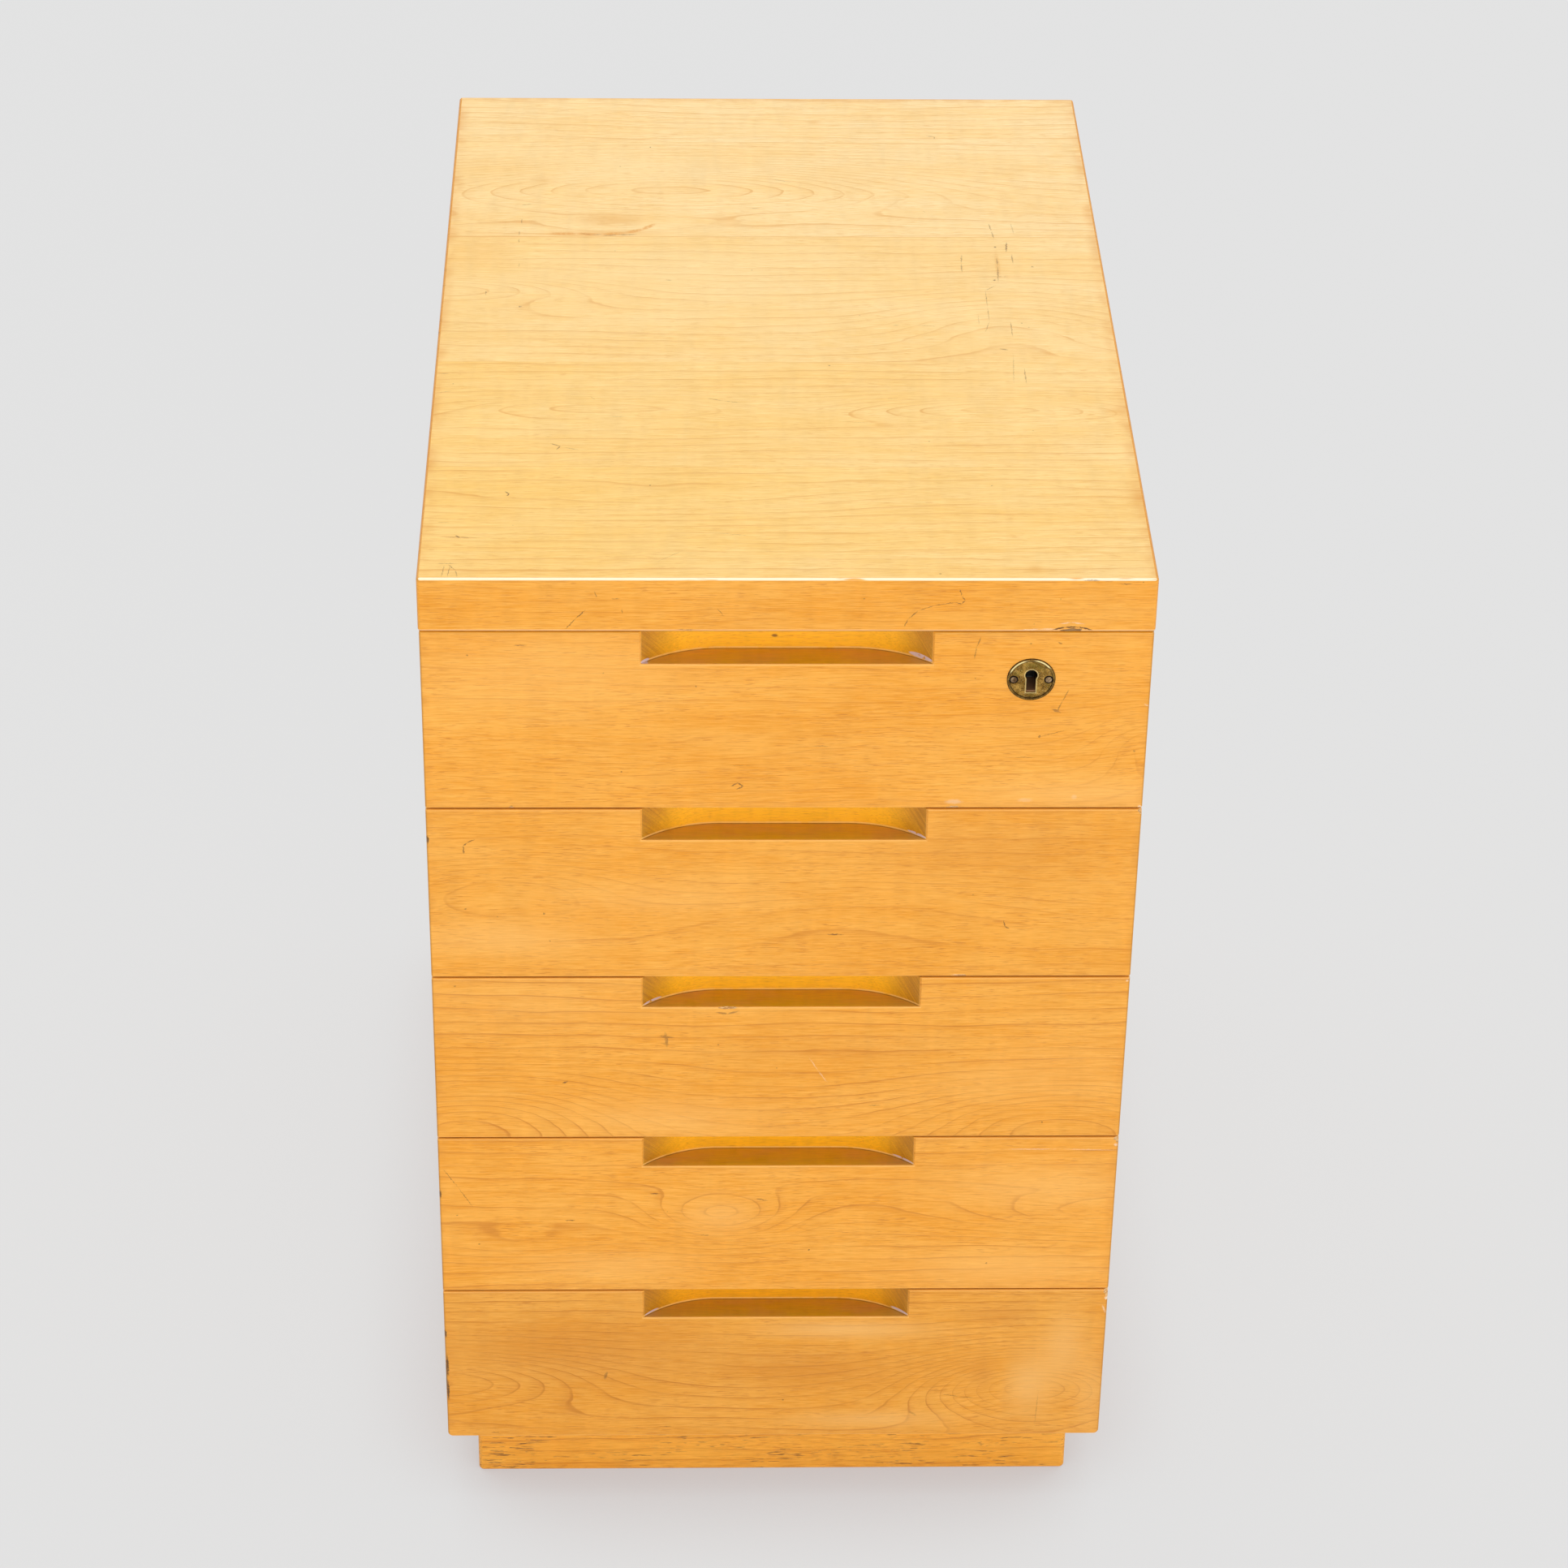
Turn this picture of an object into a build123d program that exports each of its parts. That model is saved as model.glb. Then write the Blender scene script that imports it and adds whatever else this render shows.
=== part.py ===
from build123d import *
import os
from math import sqrt

# Desk pedestal in solid wood: a thick top, a dowelled carcass on a recessed plinth, five equal
# drawers on wooden side runners, and a lock on the top drawer.
# Millimetres, +Z up. The origin is on the floor under the middle of the unit. The front looks along -Y.

# Top panel
top_width = 380.0
top_depth = 580.0
top_thickness = 32.0
top_edge_round = 1.5
top_corner_round = 2.0

# Stack of drawers
drawer_count = 5
drawer_pitch = 110.0

# Carcass
side_thickness = 20.0
bottom_thickness = 16.0
back_thickness = 8.0
back_lap = 10.0  # how far the back panel laps onto each side panel and the top
closing_gap = 0.3  # between the carcass and a closed drawer front
carcass_edge_round = 0.8

# Plinth
plinth_height = 48.0
plinth_front_setback = 25.0
plinth_side_setback = 16.5
plinth_back_setback = 16.5
plinth_board = 20.0
plinth_corner_round = 3.0
plinth_foot_round = 2.0
corner_block_width = 30.0
corner_block_height = 36.0

# Drawer fronts
front_thickness = 24.0
front_setback = 0.8  # behind the front edge of the top
front_gap = 1.0  # between neighbouring fronts
front_side_margin = 0.5
front_edge_round = 1.0
lowest_corner_round = 3.0  # the two lower corners of the lowest front

# Finger pull in each front
pull_width = 152.5
pull_height = 19.5
pull_depth = 18.0
pull_cutter_radius = 60.0
pull_floor_fall = 1.2
pull_lip_round = 0.6

# Drawer boxes
box_rear_space = 47.2  # between a closed drawer and the back panel
box_height = 76.0
box_lift = 18.0  # from the lower edge of the front up to the box
box_side_gap = 1.0
box_side_thickness = 14.0
box_back_thickness = 12.0
box_back_drop = 4.0  # the back is lower than the sides
box_edge_round = 1.5
tongue_thickness = 8.0
tongue_length = 8.0
box_bottom_thickness = 5.0
box_bottom_lift = 8.0
bottom_groove_depth = 6.0
finger_count = 5

# Runners
runner_height = 14.0
runner_lift = 37.0  # from the lower edge of the box up to the runner's middle
runner_groove_depth = 7.0
runner_front_setback = 6.0
runner_back_setback = 5.0
runner_nose_round = 4.0
runner_screw_inset = 40.0
runner_screw_count = 3

# Fits
running_gap = 0.3  # between a runner and its groove, above and below
runner_face_gap = 0.5  # between a runner's face and the bottom of its groove
joint_fit = 0.1  # glued and screwed joints
groove_fit = 0.2  # over the plywood in its groove
overcut = 1.0  # how far a cutter runs out of an open side
tiny = 0.01  # two places closer than this are the same

# Dowels
dowel_diameter = 8.0
dowel_length = 36.0
dowel_in_side = 12.0  # depth in a side panel that is drilled through its face
dowel_spare = 1.0
dowel_count = 4
dowel_end_inset = 45.0
dowel_chamfer = 1.0

# Countersunk wood screws
runner_screw_diameter = 3.5
runner_screw_length = 19.0
back_screw_diameter = 3.0
back_screw_length = 25.0
plinth_screw_diameter = 5.0
plinth_screw_length = 46.0
strike_screw_diameter = 2.6
strike_screw_length = 13.0
lock_screw_diameter = 2.4
lock_screw_length = 11.0
screw_head_share = 2.0  # head, slot and depth of the head, as shares of the screw's diameter
screw_head_depth_share = 0.68
screw_slot_width_share = 0.32
screw_slot_depth_share = 0.36
back_screw_rows = 4
back_screw_inset = 5.0

# Escutcheon
escutcheon_diameter = 25.2
escutcheon_thickness = 1.2
escutcheon_let_in = 0.4
escutcheon_rim = 1.4
escutcheon_rim_round = 0.55
escutcheon_dish = 0.5
key_above_centre = 2.6
plate_screw_spacing = 18.2
plate_screw_head_diameter = 3.4
plate_screw_head_height = 0.5
plate_screw_head_round = 0.4
plate_screw_shank_diameter = 1.5
plate_screw_length = 10.0
plate_screw_slot_width = 0.6
plate_screw_slot_depth = 0.3
plate_screw_slot_turns = (8.0, 45.0)  # degrees from upright, of the left and the right screw

# Keyhole
keyhole_diameter = 6.4
keyhole_slot = 4.9
keyhole_drop = 10.4  # from the middle of the round part to the lower end of the slot
keyhole_wood_lip = 0.9  # the wood's slot ends higher than the plate's

# Lock
lock_inset = 28.0  # from the inner face of the drawer side to the middle of the lock
lock_backset = 26.0  # from the upper edge of the front to the key
lock_plate_width = 52.0
lock_plate_height = 44.5
lock_plate_thickness = 1.5
lock_flange_depth = 13.0
lock_case_width = 40.0
lock_case_height = 40.0
lock_case_depth = 9.0
lock_case_wall = 1.2
lock_screw_inset = 3.0
bolt_width = 24.0
bolt_thickness = 4.0
bolt_height = 20.0
bolt_throw = 7.0
bolt_notch_width = 9.0
bolt_notch_height = 5.0
lever_thickness = 1.5
lever_height = 6.0
lever_rise = 12.0  # the lever's pivot above the key
lever_pivot_inset = 15.0
lever_reach = 27.0
lever_post_diameter = 3.0
spring_thickness = 0.4
spring_length = 17.0
spring_slope = 14.0
lock_clearance = 0.3

# Strike plate
strike_width = 42.0
strike_depth = 14.0
strike_thickness = 1.5
strike_slot_spare = 0.8  # round the bolt
strike_mortise_spare = 2.0  # above the thrown bolt
strike_screw_inset = 4.5

# Levels and planes that follow from the sizes above
front_plane = -top_depth / 2
back_plane = top_depth / 2
outer_half = top_width / 2
inner_half = outer_half - side_thickness
under_top = plinth_height + drawer_count * drawer_pitch
total_height = under_top + top_thickness
face_y = front_plane + front_setback
rear_y = face_y + front_thickness
carcass_front = rear_y + closing_gap
back_inner = back_plane - back_thickness
plinth_half = outer_half - plinth_side_setback
plinth_front = front_plane + plinth_front_setback
plinth_back = back_plane - plinth_back_setback
front_half = outer_half - front_side_margin
front_height = drawer_pitch - front_gap
box_half = inner_half - box_side_gap
box_inner_half = box_half - box_side_thickness
box_rear = back_inner - box_rear_space
tongue_centre = (box_half + box_inner_half) / 2
groove_floor_x = box_half - runner_groove_depth
runner_inner_x = groove_floor_x + runner_face_gap
lock_x = box_inner_half - lock_inset
lock_top = under_top - front_gap / 2
key_z = lock_top - lock_backset
escutcheon_z = key_z - key_above_centre
plate_front_y = rear_y - lock_plate_thickness
case_front_y = plate_front_y - lock_case_depth
case_bottom = lock_top - lock_plate_thickness - lock_case_height
bolt_rear_y = plate_front_y - lock_clearance
bolt_front_y = bolt_rear_y - bolt_thickness
bolt_top = lock_top - lock_clearance
lever_rear_y = bolt_front_y - lock_clearance
lever_pivot_x = lock_x - lever_pivot_inset
lever_z = key_z + lever_rise
strike_y = (bolt_rear_y + bolt_front_y) / 2


def block(x_span, y_span, z_span):
    """A straight board, each span given as its low and high value."""
    spans = (x_span, y_span, z_span)
    size = [high - low for low, high in spans]
    middle = [(high + low) / 2 for low, high in spans]
    return Pos(*middle) * Box(*size)


def round_edges(solid, edges, radius):
    """Round a list of edges, with the radius held inside half of the solid's smallest side."""
    box = solid.bounding_box().size
    limit = min(box.X, box.Y, box.Z) / 2 - tiny
    return fillet(edges, min(radius, limit))


def mirrored(solid):
    """The same piece on the other side of the unit."""
    return mirror(solid, about=Plane.YZ)


def front_top(number):
    """Upper edge of the drawer front, counted from the top drawer."""
    return under_top - (number - 1) * drawer_pitch - front_gap / 2


def front_bottom(number):
    return front_top(number) - front_height


def box_bottom(number):
    return front_bottom(number) + box_lift


def runner_middle(number):
    return box_bottom(number) + runner_lift


runner_screw = (runner_screw_diameter, runner_screw_length)
back_screw = (back_screw_diameter, back_screw_length)
plinth_screw = (plinth_screw_diameter, plinth_screw_length)
strike_screw = (strike_screw_diameter, strike_screw_length)
lock_screw = (lock_screw_diameter, lock_screw_length)


def screw_body(kind, grow=0.0):
    """A countersunk screw that is driven along its own -Z, or with grow its hole."""
    diameter, length = kind
    radius = diameter / 2 + grow
    outline = Polyline(
        (0, 0),
        (screw_head_share * diameter / 2 + grow, 0),
        (radius, -screw_head_depth_share * diameter),
        (radius, -length + diameter),
        (0, -length - grow),
        close=True,
    )
    profile = Plane.XZ * make_face(outline)
    return revolve(profile, Axis.Z)


def screw(kind):
    """A countersunk screw with a slot across its head."""
    diameter = kind[0]
    slot = Box(
        2 * screw_head_share * diameter,
        screw_slot_width_share * diameter,
        2 * screw_slot_depth_share * diameter,
    )
    return screw_body(kind) - slot


def driven(solid, place, direction):
    """Turn a piece made along -Z so that it points in a direction, with its head at a place."""
    backwards = [-value for value in direction]
    return Plane(origin=place, z_dir=backwards).location * solid


def cut_screws(solid, kind, places, direction):
    for place in places:
        solid -= driven(screw_body(kind, joint_fit), place, direction)
    return solid


def screw_group(kind, places, direction):
    return [driven(screw(kind), place, direction) for place in places]


def dowel(grow=0.0):
    """A dowel along Z with its middle at the origin, or with grow its hole."""
    pin = Cylinder(dowel_diameter / 2 + grow, dowel_length + 2 * grow)
    if grow:
        return pin
    return chamfer(pin.edges(), dowel_chamfer)


def spread(low, high, count):
    """Evenly spaced values from low to high."""
    return [low + (high - low) * step / (count - 1) for step in range(count)]


def dowel_rows():
    return spread(carcass_front + dowel_end_inset, back_inner - dowel_end_inset, dowel_count)


def upright_dowel_places(side):
    x = side * (outer_half - side_thickness / 2)
    return [(x, y, under_top) for y in dowel_rows()]


def level_dowel_places(side):
    x = side * (inner_half + dowel_in_side - dowel_length / 2)
    z = plinth_height + bottom_thickness / 2
    return [(x, y, z) for y in dowel_rows()]


def cut_dowels(solid):
    """Drill every dowel hole that meets this board."""
    hole = dowel(joint_fit)
    deep_hole = Cylinder(dowel_diameter / 2 + joint_fit, dowel_length + 2 * dowel_spare)
    for side in (-1, 1):
        for place in upright_dowel_places(side):
            solid -= Pos(*place) * deep_hole
        for place in level_dowel_places(side):
            solid -= Pos(*place) * Rot(0, 90, 0) * hole
    return solid


def carcass_dowels():
    pins = []
    for side in (-1, 1):
        pins += [Pos(*place) * dowel() for place in upright_dowel_places(side)]
        pins += [Pos(*place) * Rot(0, 90, 0) * dowel() for place in level_dowel_places(side)]
    return Compound(children=pins)


def back_screw_places():
    """Heads of the screws along the four edges of the back panel."""
    side_x = outer_half - side_thickness + back_screw_inset
    low = plinth_height + bottom_thickness / 2
    high = under_top + back_screw_inset
    rows = spread(low, high, back_screw_rows + 1)
    places = [(side * side_x, back_plane, z) for side in (-1, 1) for z in rows[1:-1]]
    columns = spread(-side_x + side_thickness, side_x - side_thickness, back_screw_rows)
    places += [(x, back_plane, z) for x in columns for z in (low, high)]
    return places


def strike_screw_places():
    shift = strike_width / 2 - strike_screw_inset
    return [(lock_x + side * shift, strike_y, under_top) for side in (-1, 1)]


def top_panel():
    panel = block((-outer_half, outer_half), (front_plane, back_plane), (under_top, total_height))
    panel = round_edges(panel, panel.edges().filter_by(Axis.Z), top_corner_round)
    rims = panel.faces().sort_by(Axis.Z)[-1].edges() + panel.faces().sort_by(Axis.Z)[0].edges()
    panel = round_edges(panel, rims, top_edge_round)
    panel -= block(
        (-inner_half - back_lap, inner_half + back_lap),
        (back_inner, back_plane),
        (under_top, under_top + back_lap),
    )
    panel -= block(
        (lock_x - strike_width / 2 - joint_fit, lock_x + strike_width / 2 + joint_fit),
        (strike_y - strike_depth / 2 - joint_fit, strike_y + strike_depth / 2 + joint_fit),
        (under_top, under_top + strike_thickness),
    )
    panel -= block(
        (lock_x - bolt_width / 2 - strike_slot_spare, lock_x + bolt_width / 2 + strike_slot_spare),
        (bolt_front_y - strike_slot_spare, bolt_rear_y + strike_slot_spare),
        (under_top, bolt_top + bolt_throw + strike_mortise_spare),
    )
    panel = cut_screws(panel, strike_screw, strike_screw_places(), (0, 0, 1))
    panel = cut_screws(panel, back_screw, back_screw_places(), (0, -1, 0))
    return cut_dowels(panel)


def side_panel_right():
    panel = block((inner_half, outer_half), (carcass_front, back_plane), (plinth_height, under_top))
    outer_edges = panel.edges().filter_by(Axis.Z).group_by(Axis.X)[-1]
    panel = round_edges(panel, outer_edges, carcass_edge_round)
    panel -= block(
        (inner_half, inner_half + back_lap),
        (back_inner, back_plane),
        (plinth_height, under_top),
    )
    for number in drawer_numbers():
        panel = cut_screws(panel, runner_screw, runner_screw_places(number), (1, 0, 0))
    panel = cut_screws(panel, back_screw, back_screw_places(), (0, -1, 0))
    return cut_dowels(panel)


def bottom_panel():
    panel = block(
        (-inner_half, inner_half),
        (carcass_front, back_inner),
        (plinth_height, plinth_height + bottom_thickness),
    )
    panel = cut_screws(panel, back_screw, back_screw_places(), (0, -1, 0))
    panel = cut_screws(panel, plinth_screw, plinth_screw_places(), (0, 0, 1))
    return cut_dowels(panel)


def back_panel():
    panel = block(
        (-inner_half - back_lap, inner_half + back_lap),
        (back_inner, back_plane),
        (plinth_height, under_top + back_lap),
    )
    return cut_screws(panel, back_screw, back_screw_places(), (0, -1, 0))


def plinth_front_board():
    board = block(
        (-plinth_half, plinth_half),
        (plinth_front, plinth_front + plinth_board),
        (0, plinth_height),
    )
    corners = board.edges().filter_by(Axis.Z).group_by(Axis.Y)[0]
    board = round_edges(board, corners, plinth_corner_round)
    outer_foot = board.edges().group_by(Axis.Z)[0].sort_by(Axis.Y)[:-1]
    return round_edges(board, outer_foot, plinth_foot_round)


def plinth_back_board():
    board = block(
        (-plinth_half, plinth_half),
        (plinth_back - plinth_board, plinth_back),
        (0, plinth_height),
    )
    corners = board.edges().filter_by(Axis.Z).group_by(Axis.Y)[-1]
    board = round_edges(board, corners, plinth_corner_round)
    outer_foot = board.edges().group_by(Axis.Z)[0].sort_by(Axis.Y)[1:]
    return round_edges(board, outer_foot, plinth_foot_round)


def plinth_right_board():
    board = block(
        (plinth_half - plinth_board, plinth_half),
        (plinth_front + plinth_board, plinth_back - plinth_board),
        (0, plinth_height),
    )
    outer_foot = board.edges().group_by(Axis.Z)[0].sort_by(Axis.X)[-1:]
    return round_edges(board, outer_foot, plinth_foot_round)


def corner_block_middles():
    half = corner_block_width / 2
    x = plinth_half - plinth_board - half
    rows = (plinth_front + plinth_board + half, plinth_back - plinth_board - half)
    return [(side * x, y) for side in (-1, 1) for y in rows]


def plinth_screw_places():
    return [(x, y, plinth_height - corner_block_height) for x, y in corner_block_middles()]


def plinth_corner_blocks():
    """Four glue blocks in the corners of the plinth, each with a screw up into the bottom panel."""
    blocks = []
    for x, y in corner_block_middles():
        half = corner_block_width / 2
        piece = block(
            (x - half, x + half),
            (y - half, y + half),
            (plinth_height - corner_block_height, plinth_height),
        )
        blocks.append(cut_screws(piece, plinth_screw, plinth_screw_places(), (0, 0, 1)))
    return Compound(children=blocks)


def drawer_numbers():
    return range(1, drawer_count + 1)


def runner_span():
    return (carcass_front + runner_front_setback, back_inner - runner_back_setback)


def runner_screw_places(number):
    """Heads of the three screws in the right runner, on its inner face."""
    front, back = runner_span()
    rows = spread(front + runner_screw_inset, back - runner_screw_inset, runner_screw_count)
    return [(runner_inner_x, y, runner_middle(number)) for y in rows]


def runner_right(number):
    """The wooden strip that carries the right side of one drawer."""
    front, back = runner_span()
    middle = runner_middle(number)
    strip = block(
        (runner_inner_x, inner_half),
        (front, back),
        (middle - runner_height / 2, middle + runner_height / 2),
    )
    nose = strip.edges().filter_by(Axis.X).group_by(Axis.Y)[0]
    strip = round_edges(strip, nose, runner_nose_round)
    return cut_screws(strip, runner_screw, runner_screw_places(number), (1, 0, 0))


def runner_screws():
    screws = []
    for number in drawer_numbers():
        right = screw_group(runner_screw, runner_screw_places(number), (1, 0, 0))
        screws += right
        screws += [mirrored(piece) for piece in right]
    return Compound(children=screws)


def pull_cutter(number):
    """The space milled for the fingers: a straight rear wall whose ends sweep out in arcs."""
    half = pull_width / 2
    arc_depth = pull_cutter_radius - pull_depth
    run = sqrt(pull_cutter_radius**2 - arc_depth**2)
    straight = half - run
    centre_y = face_y - arc_depth
    in_front = face_y - pull_depth
    middle_x = (straight + half) / 2
    middle_y = centre_y + sqrt(pull_cutter_radius**2 - (middle_x - straight) ** 2)
    outline = [
        Line((-straight, face_y + pull_depth), (straight, face_y + pull_depth)),
        ThreePointArc((straight, face_y + pull_depth), (middle_x, middle_y), (half, face_y)),
        Line((half, face_y), (half, in_front)),
        Line((half, in_front), (-half, in_front)),
        Line((-half, in_front), (-half, face_y)),
        ThreePointArc((-half, face_y), (-middle_x, middle_y), (-straight, face_y + pull_depth)),
    ]
    floor = front_top(number) - pull_height
    plan = Pos(0, 0, floor - pull_floor_fall) * make_face(outline)
    space = extrude(plan, pull_height + pull_floor_fall + overcut, dir=(0, 0, 1))
    wedge = Polyline(
        (in_front, floor),
        (face_y, floor),
        (face_y + pull_depth, floor - pull_floor_fall),
        (face_y + pull_depth, floor - 2 * pull_floor_fall),
        (in_front, floor - 2 * pull_floor_fall),
        close=True,
    )
    under_floor = extrude(Plane.YZ * make_face(wedge), half, both=True)
    return space - under_floor


def keyhole_cutter(y_span, drop):
    """A round hole with a slot below it, cut along Y."""
    length = y_span[1] - y_span[0]
    hole = Pos(lock_x, (y_span[0] + y_span[1]) / 2, key_z)
    hole = hole * Rot(90, 0, 0) * Cylinder(keyhole_diameter / 2, length)
    slot = block(
        (lock_x - keyhole_slot / 2, lock_x + keyhole_slot / 2),
        y_span,
        (key_z - drop, key_z),
    )
    return hole + slot


def drawer_front(number):
    top = front_top(number)
    bottom = front_bottom(number)
    board = block((-front_half, front_half), (face_y, rear_y), (bottom, top))
    if number == drawer_count:
        lower_corners = board.edges().filter_by(Axis.Y).group_by(Axis.Z)[0]
        board = round_edges(board, lower_corners, lowest_corner_round)
    board = round_edges(board, board.edges(), front_edge_round)
    board -= pull_cutter(number)
    board = fillet(pull_rim(board, top - pull_height), pull_lip_round)
    board -= housing_cutter(number)
    board -= mirrored(housing_cutter(number))
    board -= bottom_groove_cutter(number)
    if number == 1:
        board = cut_for_lock(board)
    return board


def pull_rim(board, floor):
    """The three edges of the finger pull's window: its sill and its two upright sides."""
    on_face = [edge for edge in board.edges() if abs(edge.center().Y - face_y) < tiny]
    sill = [edge for edge in on_face if abs(edge.center().Z - floor) < tiny]
    sides = [edge for edge in on_face if abs(abs(edge.center().X) - pull_width / 2) < tiny]
    return sill + sides


def housing_cutter(number):
    """The upright housing in the rear of the front that takes the tongue of the right side."""
    half = tongue_thickness / 2 + joint_fit
    low = box_bottom(number)
    return block(
        (tongue_centre - half, tongue_centre + half),
        (rear_y - tongue_length - joint_fit, rear_y),
        (low - joint_fit, low + box_height + joint_fit),
    )


def bottom_groove_cutter(number):
    """The groove for the plywood bottom, in both sides and in the rear of the front."""
    low = box_bottom(number) + box_bottom_lift
    half = box_inner_half + bottom_groove_depth
    return block(
        (-half, half),
        (rear_y - bottom_groove_depth, box_rear),
        (low, low + box_bottom_thickness + groove_fit),
    )


def runner_groove_cutter(number):
    half = runner_height / 2 + running_gap
    middle = runner_middle(number)
    return block(
        (groove_floor_x, box_half),
        (rear_y, box_rear),
        (middle - half, middle + half),
    )


def box_back_span(number):
    low = box_bottom(number) + box_bottom_lift + box_bottom_thickness
    return (low, box_bottom(number) + box_height - box_back_drop)


def finger_spans(number):
    """Heights of the fingers that the drawer's back puts through the sides."""
    low, high = box_back_span(number)
    step = (high - low) / finger_count
    return [(low + index * step, low + (index + 1) * step) for index in range(1, finger_count, 2)]


def drawer_side_right(number):
    low = box_bottom(number)
    high = low + box_height
    board = block((box_inner_half, box_half), (rear_y, box_rear), (low, high))
    upper = board.edges().filter_by(Axis.Y).group_by(Axis.Z)[-1]
    board = round_edges(board, upper, box_edge_round)
    board += block(
        (tongue_centre - tongue_thickness / 2, tongue_centre + tongue_thickness / 2),
        (rear_y - tongue_length, rear_y),
        (low, high),
    )
    board -= bottom_groove_cutter(number)
    board -= runner_groove_cutter(number)
    for span in finger_spans(number):
        board -= block((box_inner_half, box_half), (box_rear - box_back_thickness, box_rear), span)
    return board


def drawer_back(number):
    low, high = box_back_span(number)
    y_span = (box_rear - box_back_thickness, box_rear)
    board = block((-box_inner_half, box_inner_half), y_span, (low, high))
    upper = board.edges().filter_by(Axis.X).group_by(Axis.Z)[-1]
    board = round_edges(board, upper, box_edge_round)
    for span in finger_spans(number):
        board += block((-box_half, box_half), y_span, span)
    board -= runner_groove_cutter(number)
    board -= mirrored(runner_groove_cutter(number))
    return board


def drawer_bottom(number):
    low = box_bottom(number) + box_bottom_lift
    half = box_inner_half + bottom_groove_depth - 2 * joint_fit
    return block(
        (-half, half),
        (rear_y - bottom_groove_depth + 2 * joint_fit, box_rear),
        (low, low + box_bottom_thickness),
    )


def plate_screw_places():
    return [(lock_x + side * plate_screw_spacing / 2, escutcheon_z) for side in (-1, 1)]


def disc(radius, y_span, x, z):
    """A round disc or hole along Y."""
    middle = Pos(x, (y_span[0] + y_span[1]) / 2, z)
    return middle * Rot(90, 0, 0) * Cylinder(radius, y_span[1] - y_span[0])


def cut_for_lock(board):
    """Seat of the escutcheon, keyhole, screw holes and the mortise of the lock."""
    seat_y = face_y + escutcheon_let_in
    seat_radius = escutcheon_diameter / 2 + joint_fit
    board -= disc(seat_radius, (face_y - overcut, seat_y), lock_x, escutcheon_z)
    board -= keyhole_cutter((face_y, rear_y), keyhole_drop - keyhole_wood_lip)
    for x, z in plate_screw_places():
        hole_end = seat_y + plate_screw_length
        board -= disc(plate_screw_shank_diameter / 2 + joint_fit, (face_y, hole_end), x, z)
    half_case = lock_case_width / 2 + joint_fit
    board -= block(
        (lock_x - half_case, lock_x + half_case),
        (case_front_y - joint_fit, rear_y),
        (case_bottom - joint_fit, lock_top),
    )
    half_plate = lock_plate_width / 2 + joint_fit
    board -= block(
        (lock_x - half_plate, lock_x + half_plate),
        (plate_front_y, rear_y),
        (lock_top - lock_plate_height - joint_fit, lock_top),
    )
    board -= block(
        (lock_x - half_plate, lock_x + half_plate),
        (rear_y - lock_flange_depth - joint_fit, rear_y),
        (lock_top - lock_plate_thickness, lock_top),
    )
    return cut_screws(board, lock_screw, lock_screw_places(), (0, -1, 0))


def escutcheon():
    """Round plate with a raised rim, a sunk field, a keyhole and two screw holes."""
    seat_y = face_y + escutcheon_let_in
    outer_y = seat_y - escutcheon_thickness
    radius = escutcheon_diameter / 2
    plate = disc(radius, (outer_y, seat_y), lock_x, escutcheon_z)
    outer_rim = plate.edges().filter_by(GeomType.CIRCLE).sort_by(Axis.Y)[0]
    plate = fillet(outer_rim, min(escutcheon_rim_round, escutcheon_thickness - tiny))
    dish_span = (outer_y - overcut, outer_y + escutcheon_dish)
    plate -= disc(radius - escutcheon_rim, dish_span, lock_x, escutcheon_z)
    plate -= keyhole_cutter((outer_y, seat_y), keyhole_drop)
    for x, z in plate_screw_places():
        plate -= disc(plate_screw_shank_diameter / 2 + joint_fit, (outer_y, seat_y), x, z)
    return plate


def escutcheon_screws():
    """Two small round-headed screws, each with the slot as it was left when it was driven."""
    field_y = face_y + escutcheon_let_in - escutcheon_thickness + escutcheon_dish
    head_y = field_y - plate_screw_head_height
    end_y = field_y + plate_screw_length
    screws = []
    for (x, z), turn in zip(plate_screw_places(), plate_screw_slot_turns):
        head = disc(plate_screw_head_diameter / 2, (head_y, field_y), x, z)
        rim = head.edges().filter_by(GeomType.CIRCLE).sort_by(Axis.Y)[0]
        head = fillet(rim, min(plate_screw_head_round, plate_screw_head_height - tiny))
        slot = Box(
            plate_screw_slot_width,
            2 * plate_screw_slot_depth,
            2 * plate_screw_head_diameter,
        )
        head -= Pos(x, head_y, z) * Rot(0, turn, 0) * slot
        screws.append(head + disc(plate_screw_shank_diameter / 2, (field_y, end_y), x, z))
    return Compound(children=screws)


def lock_screw_places():
    x_shift = lock_plate_width / 2 - lock_screw_inset
    low = lock_top - lock_plate_height + lock_screw_inset
    high = lock_top - lock_flange_depth
    return [(lock_x + side * x_shift, rear_y, z) for side in (-1, 1) for z in (low, high)]


def lock_back_plate():
    """Plate in the rear of the front, with a flange in its upper edge and the lever's post."""
    x_span = (lock_x - lock_plate_width / 2, lock_x + lock_plate_width / 2)
    plate = block(x_span, (plate_front_y, rear_y), (lock_top - lock_plate_height, lock_top))
    plate += block(
        x_span,
        (rear_y - lock_flange_depth, rear_y),
        (lock_top - lock_plate_thickness, lock_top),
    )
    plate -= block(
        (lock_x - bolt_width / 2 - lock_clearance, lock_x + bolt_width / 2 + lock_clearance),
        (bolt_front_y - lock_clearance, plate_front_y),
        (lock_top - lock_plate_thickness, lock_top),
    )
    post_end = case_front_y + lock_case_wall + lock_clearance
    plate += disc(lever_post_diameter / 2, (post_end, plate_front_y), lever_pivot_x, lever_z)
    return cut_screws(plate, lock_screw, lock_screw_places(), (0, -1, 0))


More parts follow.
